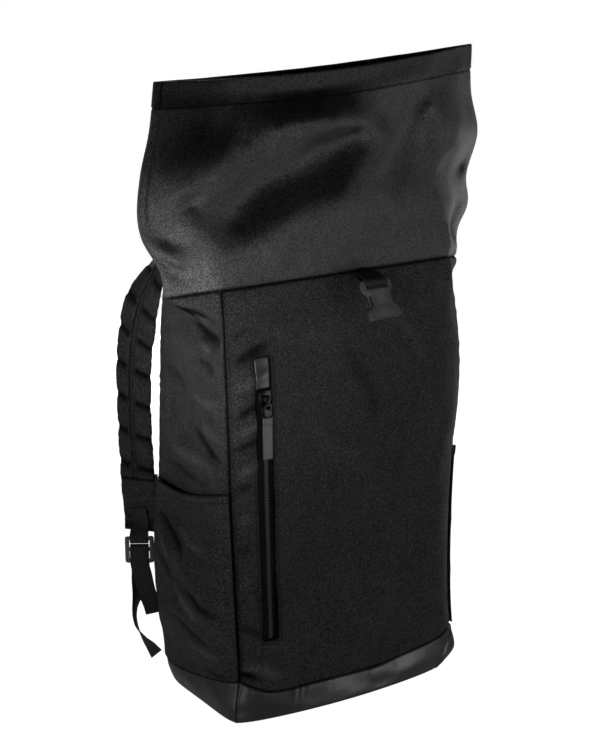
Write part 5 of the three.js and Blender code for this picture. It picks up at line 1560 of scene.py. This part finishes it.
def strap_rows():
    x, z = STRAP["x"] * HALF_WIDTH, STRAP["z"] * BODY_HEIGHT
    clear = STRAP["thick"] * STRAP_PADDING / 2 + 5 * GAP
    reach = STRAP_WIDTH / 2
    face = np.maximum(np.maximum(back_face(x - reach, z), back_face(x, z)), back_face(x + reach, z))
    on_back = np.where(z < BODY_HEIGHT, face + clear, -np.inf)
    hangs = STRAP["ay"] > 0.5
    y = np.where(hangs, HALF_DEPTH + STRAP["y"], np.maximum(HALF_DEPTH * 0.74 + STRAP["y"], on_back))
    across = unit(np.stack([STRAP["ax"], STRAP["ay"], STRAP["az"]], axis=1))
    return np.stack([x, y, z], axis=1), across


def strap_stations(count):
    at, across = strap_rows()
    t = np.linspace(0, 1, count)
    rows = np.arange(len(at)) / (len(at) - 1)
    width = STRAP_WIDTH * np.interp(t, rows, STRAP["width"])
    thick = STRAP_PADDING * np.interp(t, rows, STRAP["thick"])
    return *stations(at, across, t), width, thick


# Half the sewn channel's width, the spacing of the padding's puckers, how square the section is, and
# how far the padding's two end seams lie from the strap's ends.
CHANNEL_HALF = 3.0
PUCKER_PITCH = 36.0
STRAP_SQUARE = 0.62
TOP_SEAM = 66
BOTTOM_SEAM = 57


def shoulder_strap():
    """Padded strap with rolled edges, a sewn channel down its middle and gathers across it."""
    places, turned, out, width, thick = strap_stations(260)
    run = run_length(places)
    flat = np.cos(np.linspace(0, np.pi, 71))
    turn = np.arccos(np.sign(flat) * np.abs(flat) ** (1 / STRAP_SQUARE))
    flat = np.concatenate([flat, flat[-2:0:-1]])
    b = np.sin(np.concatenate([turn, 2 * np.pi - turn[-2:0:-1]]))
    high = np.sign(b) * np.abs(b) ** STRAP_SQUARE * 0.5
    across = flat[None, :] * width[:, None] / 2
    lift = high[None, :] * thick[:, None]
    to_end = run[-1] - run
    padded = smooth(TOP_SEAM - 6, TOP_SEAM + 8, run) * smooth(BOTTOM_SEAM - 5, BOTTOM_SEAM + 3, to_end)
    padded = padded[:, None]
    press = 1.5 * bell(np.abs(across) - CHANNEL_HALF, 1.1)
    press = press + 0.9 * np.exp(-((across / (CHANNEL_HALF + 0.4)) ** 4))
    press = padded * press * (np.abs(high)[None, :] > 0.3)
    lift = lift - np.sign(high)[None, :] * np.minimum(press, np.abs(lift) * 0.6)
    phase = (run[:, None] + 0.12 * across) % PUCKER_PITCH - PUCKER_PITCH / 2
    pinch = bell(phase, 4.5) * smooth(3, 9, np.abs(across)) * padded
    gathers = 0.35 * ripples(run[:, None], across, 12, 211)
    gathers = gathers + 0.25 * ripples(run[:, None] * 1.6, across * 0.5, 7, 213)
    top_part = smooth(TOP_SEAM + 10, TOP_SEAM - 6, run)[:, None]
    lift = lift + np.sign(high)[None, :] * (gathers * (0.45 + 0.8 * top_part) - 1.3 * pinch)
    across = across * (1 - 0.05 * pinch)
    seam = (bell(run - TOP_SEAM, 1.6) + bell(to_end - BOTTOM_SEAM, 1.6))[:, None]
    lift = lift * (1 - 0.35 * seam)
    points = places[:, None] + turned[:, None] * across[..., None] + out[:, None] * lift[..., None]
    # Painted shade in the sewn channel's lines, the pinches and the end seams, and painted shade and
    # highlight on the gathers.
    lines = bell(np.abs(across) - CHANNEL_HALF, 0.9) * padded
    dark = np.max(np.broadcast_arrays(0.95 * lines, 0.9 * pinch, 0.9 * seam), axis=0)
    dark = np.clip(over(dark, -0.5 * gathers * (0.3 + 1.2 * top_part)), -0.8, 0.95)
    obj = swept_points("padded_strap_left", points, across, crease=70, dark=dark)
    inside = (run > TOP_SEAM + 4) & (to_end > BOTTOM_SEAM + 3)
    sewn = []
    for way in (-1, 1):
        centre = places + turned * (way * CHANNEL_HALF) + out * (thick * 0.5 - 1.2)[:, None]
        sewn.append((centre[inside], out[inside]))
    return obj, sewn


def round_bar_run(start, middle, radius, way, end):
    """Webbing's points in the lock, in its own plane: up, round one side of a bar, and back."""
    at = [(start, -radius)]
    for out in (-1, -0.7, 0, 0.7, 1):
        at.append((middle + way * math.sqrt(1 - out * out) * radius, out * radius))
    return [LOCK_PLACE + np.array([0, 0, up]) + LOCK_FACE * out for up, out in at + [(end, radius)]]


def strap_tab():
    bar = LOCK_HEIGHT / 2 - LOCK_BAR / 2
    radius = math.hypot(LOCK_BAR, LOCK_THICKNESS) / 2 + WEBBING / 2 + 0.1
    at = round_bar_run(bar + 2.5, bar - LOCK_SLACK, radius, -1, bar + 3)
    across = [-LOCK_ACROSS] * len(at)
    places, turned, out, _, thick = strap_stations(STRAP_STEPS + 1)
    for i in range(STRAP_STEPS - 1, STRAP_STEPS - 5, -1):
        at.append(places[i] + out[i] * (thick[i] / 2 + 3 * GAP + WEBBING / 2))
        across.append(turned[i])
    return webbing_band("strap_tab_webbing_left", at, across, 120)


def run_rows(rows):
    places = np.stack([rows["x"] * HALF_WIDTH, HALF_DEPTH + rows["y"], rows["z"]], axis=1)
    return list(places), list(unit(np.stack([rows["ax"], rows["ay"], rows["az"]], axis=1)))


def adjuster_webbing():
    radius = math.hypot(LOCK_THICKNESS, LOCK_MIDDLE_BAR) / 2 + WEBBING / 2 + 0.1
    in_lock = round_bar_run(-LOCK_HEIGHT / 2, LOCK_SLACK, radius, 1, -LOCK_HEIGHT / 2)
    load, load_across = run_rows(LOAD_RUN)
    tail, tail_across = run_rows(TAIL_RUN)
    across = load_across + [LOCK_ACROSS] * len(in_lock) + tail_across
    return webbing_band("adjuster_webbing_run_left", load + in_lock + tail, across, 240)


def ladder_lock():
    half_w, half_h, corner = LOCK_WIDTH / 2, LOCK_HEIGHT / 2, 3.0
    outline = []
    for cx, cy, start in ((1, 1, 0), (-1, 1, 90), (-1, -1, 180), (1, -1, 270)):
        for angle in np.radians(start + np.linspace(0, 90, 6)):
            x = cx * (half_w - corner) + corner * math.cos(angle)
            outline.append((x, cy * (half_h - corner) + corner * math.sin(angle)))
    slot = WEBBING_WIDTH / 2 + 0.8
    low, high = LOCK_MIDDLE_BAR / 2, half_h - LOCK_BAR
    holes = [((-slot, low, -9), (slot, high, 9)), ((-slot, -high, -9), (slot, -low, 9))]
    obj = plate("ladder_lock_frame_left", outline, LOCK_THICKNESS, holes, 0.9)
    turn = Matrix.Rotation(-LOCK_TURN, 4, "Z") @ Matrix.Rotation(math.pi / 2, 4, "X")
    place(obj, Matrix.Translation(Vector(LOCK_PLACE * MM)) @ turn)
    return obj


# Zip slider and puller.
SLIDER_LENGTH = 17
SLIDER_WIDTH = 13.4
SLIDER_THICKNESS = 2.2
BAIL_HEIGHT = 2.9
BAIL_RADIUS = 1
EYE_RADIUS = 2.5
EYE_WIDTH = 3
PULLER_LENGTH = 44
PULLER_WIDTH = 11.6
LINK_END = -19


def slider_place():
    z = np.array(ZIP_TOP - PATCH_HEIGHT - 3)
    middle = CHAIN_FROM + CHAIN_WIDTH / ZIP_WIDTH / 2
    x = zip_left(z) + ZIP_WIDTH * middle
    along = front_along(x, z)
    y = panel_point("front", along, z, panel_folds("front", along, z))[1]
    return np.array([float(x), float(y) - 0.9, float(z)])


def zip_slider():
    half, long = SLIDER_WIDTH / 2, SLIDER_LENGTH
    right = [
        (half * 0.4, -long + 1),
        (half * 0.72, -long * 0.85),
        (half, -long * 0.5),
        (half, -1),
        (half * 0.85, 2),
    ]
    obj = plate("slider_shell", right + [(-x, y) for x, y in right[::-1]], SLIDER_THICKNESS)
    turn = Matrix.Rotation(math.pi / 2, 4, "X")
    place(obj, Matrix.Translation((0, -SLIDER_THICKNESS / 2 * MM, 0)) @ turn)
    join(obj, block((-half * 0.7, -SLIDER_THICKNESS + 0.2, -long * 0.6), (half * 0.7, 0, 1)))
    round_edges(obj, 0.8)
    out = -SLIDER_THICKNESS - BAIL_HEIGHT
    inner = EYE_WIDTH / 2 + 0.5
    for way in (-1, 1):
        x0, x1 = sorted((way * inner, way * (inner + 1.4)))
        join(obj, block((x0, out - BAIL_RADIUS, -8), (x1, -SLIDER_THICKNESS + 0.3, -4)))
    join(obj, round_bar(BAIL_RADIUS, (-inner - 1.4, out, -6), (inner + 1.4, out, -6)))
    obj.data.set_sharp_from_angle(angle=math.radians(40))
    place(obj, Matrix.Translation(Vector(slider_place() * MM)))
    return obj


def puller_origin():
    return slider_place() + (0, -SLIDER_THICKNESS - BAIL_HEIGHT, -6)


def zip_puller():
    """Enamelled link with its eye, which holds the leather-like tab; both are dressed onto the puller's
    body below.
    """
    obj = round_bar(EYE_RADIUS, (-EYE_WIDTH / 2, 0, 0), (EYE_WIDTH / 2, 0, 0), 28)
    join(obj, block((-EYE_WIDTH / 2, -1, -7), (EYE_WIDTH / 2, 1, -1.6)))
    half = PULLER_WIDTH / 2 - 0.9
    join(obj, block((-half, -1, LINK_END - 1), (half, 1, -6)))
    cut(obj, block((-half + 2, -2, -11), (half - 2, 2, -8)))
    cut(obj, round_bar(BAIL_RADIUS + 0.4, (-EYE_WIDTH, 0, 0), (EYE_WIDTH, 0, 0), 24))
    round_edges(obj, 0.35, 2)
    place(obj, Matrix.Translation(Vector(puller_origin() * MM)))
    return obj


def puller_tab():
    """Folded tab of faux leather: a band at its top, a sewn line near its end, softly rounded edges."""
    low, high = LINK_END - PULLER_LENGTH, float(LINK_END)
    z = (low + spaced(high - low, 1.0, 0.35, 1.8) * (high - low))[None, :]
    share = spaced(PULLER_WIDTH, 0.9, 0.3, 1.8)[:, None]
    corner = 1.5
    short = np.clip(corner - (z - low), 0, corner)
    inset = corner - np.sqrt(np.maximum(corner**2 - short**2, 0))
    x = mix(-PULLER_WIDTH / 2 + inset, PULLER_WIDTH / 2 - inset, share)
    edge = np.minimum(np.minimum(share, 1 - share) * PULLER_WIDTH, np.minimum(z - low, high - z))
    half = 0.55 + 0.65 * smooth(0, 1.2, edge)
    band = 0.35 * smooth(-7.5, -7.0, z - high)
    line = groove(z - (low + 6.5), 0.28, 0.5) + groove(z - (high - 7.6), 0.3, 0.45)
    front = -(half + band + line * smooth(0, 1.5, edge))
    x, z, front, back = np.broadcast_arrays(x, z, front, half)
    origin = puller_origin()
    outer = np.stack([x, front, z], axis=-1) + origin
    inner = np.stack([x, back, z], axis=-1) + origin
    return cloth_sheet("puller_tab", outer, inner, np.stack([x, z], axis=-1))


# Put the object together.
def seam_stitches():
    """Topstitching beside the front's left seam, round the zip's window and along the collar's hem."""
    z = np.linspace(48, BODY_HEIGHT - 6, 300)
    run = front_run(SEAM_STITCH / panel_length("front", z), z, -0.2)
    dress(stitches("front_seam_stitches", [run]), "thread")
    aside, beyond = WINDOW_STITCH, 2
    heights = np.linspace(ZIP_BOTTOM - beyond, ZIP_TOP + beyond, 240)
    lines = [(zip_left(heights) + x, heights) for x in (-aside, ZIP_WIDTH + aside)]
    for height in (ZIP_TOP + aside, ZIP_BOTTOM - aside):
        left = zip_left(height)
        lines.append((np.linspace(left - beyond, left + ZIP_WIDTH + beyond, 30), np.full(30, height)))
    runs = [front_run(front_along(x, z), z, -0.45) for x, z in lines]
    dress(stitches("zip_window_stitches", runs, 2.0, 0.9, 0.26), "thread")
    u = np.linspace(0.01, 0.99, 300)
    v = np.full(300, 1 - (HEM_HEIGHT + 0.2) / COLLAR_HEIGHT)
    runs = [(collar_surface(layer, u, v, 0.1), collar_out(layer, u, v)) for layer in ("front", "back")]
    dress(stitches("hem_stitches", runs, 2.4, 1.0, 0.26), "thread")


dress(base_boot(), "leather", ["base_boot"])
dress(front_panel(), "body", ["front_panel"])
dress(side_or_back("left", "side_cloth_left", 23), "body", ["side_panel_left"])
dress(side_or_back("right", "side_cloth_right", 37), "body", ["side_panel_right"])
back_pad = dress(side_or_back("back", "back_padding", 41), "back", ["back_panel"])
collar_tube = dress(collar(), "collar", ["collar_front", "collar_back"])
dress(side_pocket("left", "side_pocket_cloth_left", 101), "body", ["side_pocket_left"])
dress(side_pocket("right", "side_pocket_cloth_right", 121), "body", ["side_pocket_right"])

dress(zip_tape(), "tape", ["zip_tape"])
dress(zip_patch(), "leather", ["zip_patch"])
dress(zip_teeth(), "teeth", ["zip_chain"])
dress(zip_slider(), "enamel", ["zip_slider"])
dress(zip_puller(), "enamel", ["zip_puller"], "puller")
dress(puller_tab(), "leather", (), "puller")

dress(buckle_webbing(), "webbing", ["buckle_webbing"])
dress(buckle_socket(), "plastic", ["buckle_socket"])

strap, strap_lines = shoulder_strap()
for piece, look, node in (
    (strap, "body", "shoulder_strap"),
    (strap_tab(), "webbing", "strap_tab"),
    (adjuster_webbing(), "webbing", "adjuster_webbing"),
    (ladder_lock(), "plastic", "ladder_lock"),
    (stitches("strap_stitches_left", strap_lines), "thread", None),
):
    twin = mirrored(piece, piece.name.replace("left", "right"))
    dress(piece, look, [node + "_left"] if node else ())
    dress(twin, look, [node + "_right"] if node else ())
seam_stitches()

# Camera at the photograph's angle, from its fitted place.
PITCH, YAW, ROLL = math.radians(14.7), math.radians(34.2), 0.00774
EYE = Vector((-1144.3, -1690.8, 878.6)) * MM
FOCAL_PIXELS, IMAGE_HEIGHT = 2020, 735
level_right = Vector((math.cos(YAW), -math.sin(YAW), 0))
ahead = Vector((math.sin(YAW), math.cos(YAW), 0))
level_up = math.sin(PITCH) * ahead + math.cos(PITCH) * Vector((0, 0, 1))
right = math.cos(ROLL) * level_right - math.sin(ROLL) * level_up
up = math.sin(ROLL) * level_right + math.cos(ROLL) * level_up
camera = linked("camera", bpy.data.cameras.new("camera"))
camera.data.sensor_width = 36
camera.data.lens = 36 * FOCAL_PIXELS / IMAGE_HEIGHT
camera.data.clip_start, camera.data.clip_end = 0.05, 50
turned = Matrix((right, up, right.cross(up))).transposed().to_4x4()
camera.matrix_world = Matrix.Translation(EYE) @ turned
bpy.context.scene.camera = camera


# Floor, world and lamps.
FLOOR_REACH = 30
SKY = [(0.0, 0.32), (0.34, 0.22), (0.44, 0.02), (0.6, 0.005), (1.0, 0.01)]


def stage():
    """White floor as far as the camera sees, which neither reflects in the bag nor lights it."""
    mesh = bpy.data.meshes.new("floor")
    corners = [(x * FLOOR_REACH, y * FLOOR_REACH, 0) for x, y in ((-1, -1), (1, -1), (1, 1), (-1, 1))]
    mesh.from_pydata(corners, [], [(0, 1, 2, 3)])
    floor = linked("floor", mesh)
    paint = {
        "Base Color": (0.3, 0.3, 0.3, 1),
        "Roughness": 0.9,
        "Specular IOR Level": 0,
        "Emission Color": (1, 1, 1, 1),
        "Emission Strength": 1.0,
    }
    mesh.materials.append(Finish("floor_pale").set(paint))
    floor.visible_glossy = floor.visible_diffuse = False
    world = bpy.data.worlds.new("studio")
    world.use_nodes = True
    sky = Nodes(world.node_tree)
    _, _, height = sky.split(sky.new("TexCoord").outputs["Generated"])
    glow = sky.ramp(sky.add(sky.times(height, 0.5), 0.5), SKY)
    sky.put(sky.tree.nodes["Background"].inputs["Color"], glow)
    bpy.context.scene.world = world


def lamp(name, at, aim, size, power, spread=180):
    data = bpy.data.lights.new(name, "AREA")
    data.shape = "RECTANGLE"
    data.size, data.size_y = size
    data.energy = power
    data.spread = math.radians(spread)
    obj = linked(name, data)
    obj.location = at
    obj.rotation_euler = (Vector(aim) - Vector(at)).to_track_quat("-Z", "Y").to_euler()
    obj.visible_camera = False


stage()
lamp("side_low", (-0.9, -0.1, 0.1), (-0.15, 0, 0.42), (0.3, 0.5), 2.0)
lamp("side_top", (-0.45, -0.05, 0.3), (-0.14, 0, 0.41), (0.12, 0.2), 0.12, 55)
lamp("corner_top", (-0.42, -0.4, 0.34), (-0.13, -0.06, 0.41), (0.12, 0.2), 0.14, 45)
lamp("front_low", (-0.5, -0.9, 0.06), (-0.05, -0.05, 0.5), (0.3, 0.5), 1.9)
lamp("right_low", (0.6, -0.9, 0.06), (0.05, 0, 0.5), (0.3, 0.5), 3.3)
lamp("right_mid", (1.0, -0.32, 0.62), (0.08, 0, 0.5), (0.12, 0.25), 0.9)
lamp("right_back", (1.2, 0.2, 0.2), (0.15, 0, 0.5), (0.4, 0.6), 1.6)
lamp("right_up", (1.0, -1.2, 1.5), (0, 0, 0.5), (0.4, 0.4), 0.9)
lamp("left_back", (-1.4, 0.6, 0.5), (-0.1, 0, 0.4), (0.4, 0.8), 1.5)
lamp("behind", (0.5, 1.6, 0.5), (0, 0, 0.35), (0.8, 0.8), 16)
bpy.context.scene.view_settings.view_transform = "Standard"
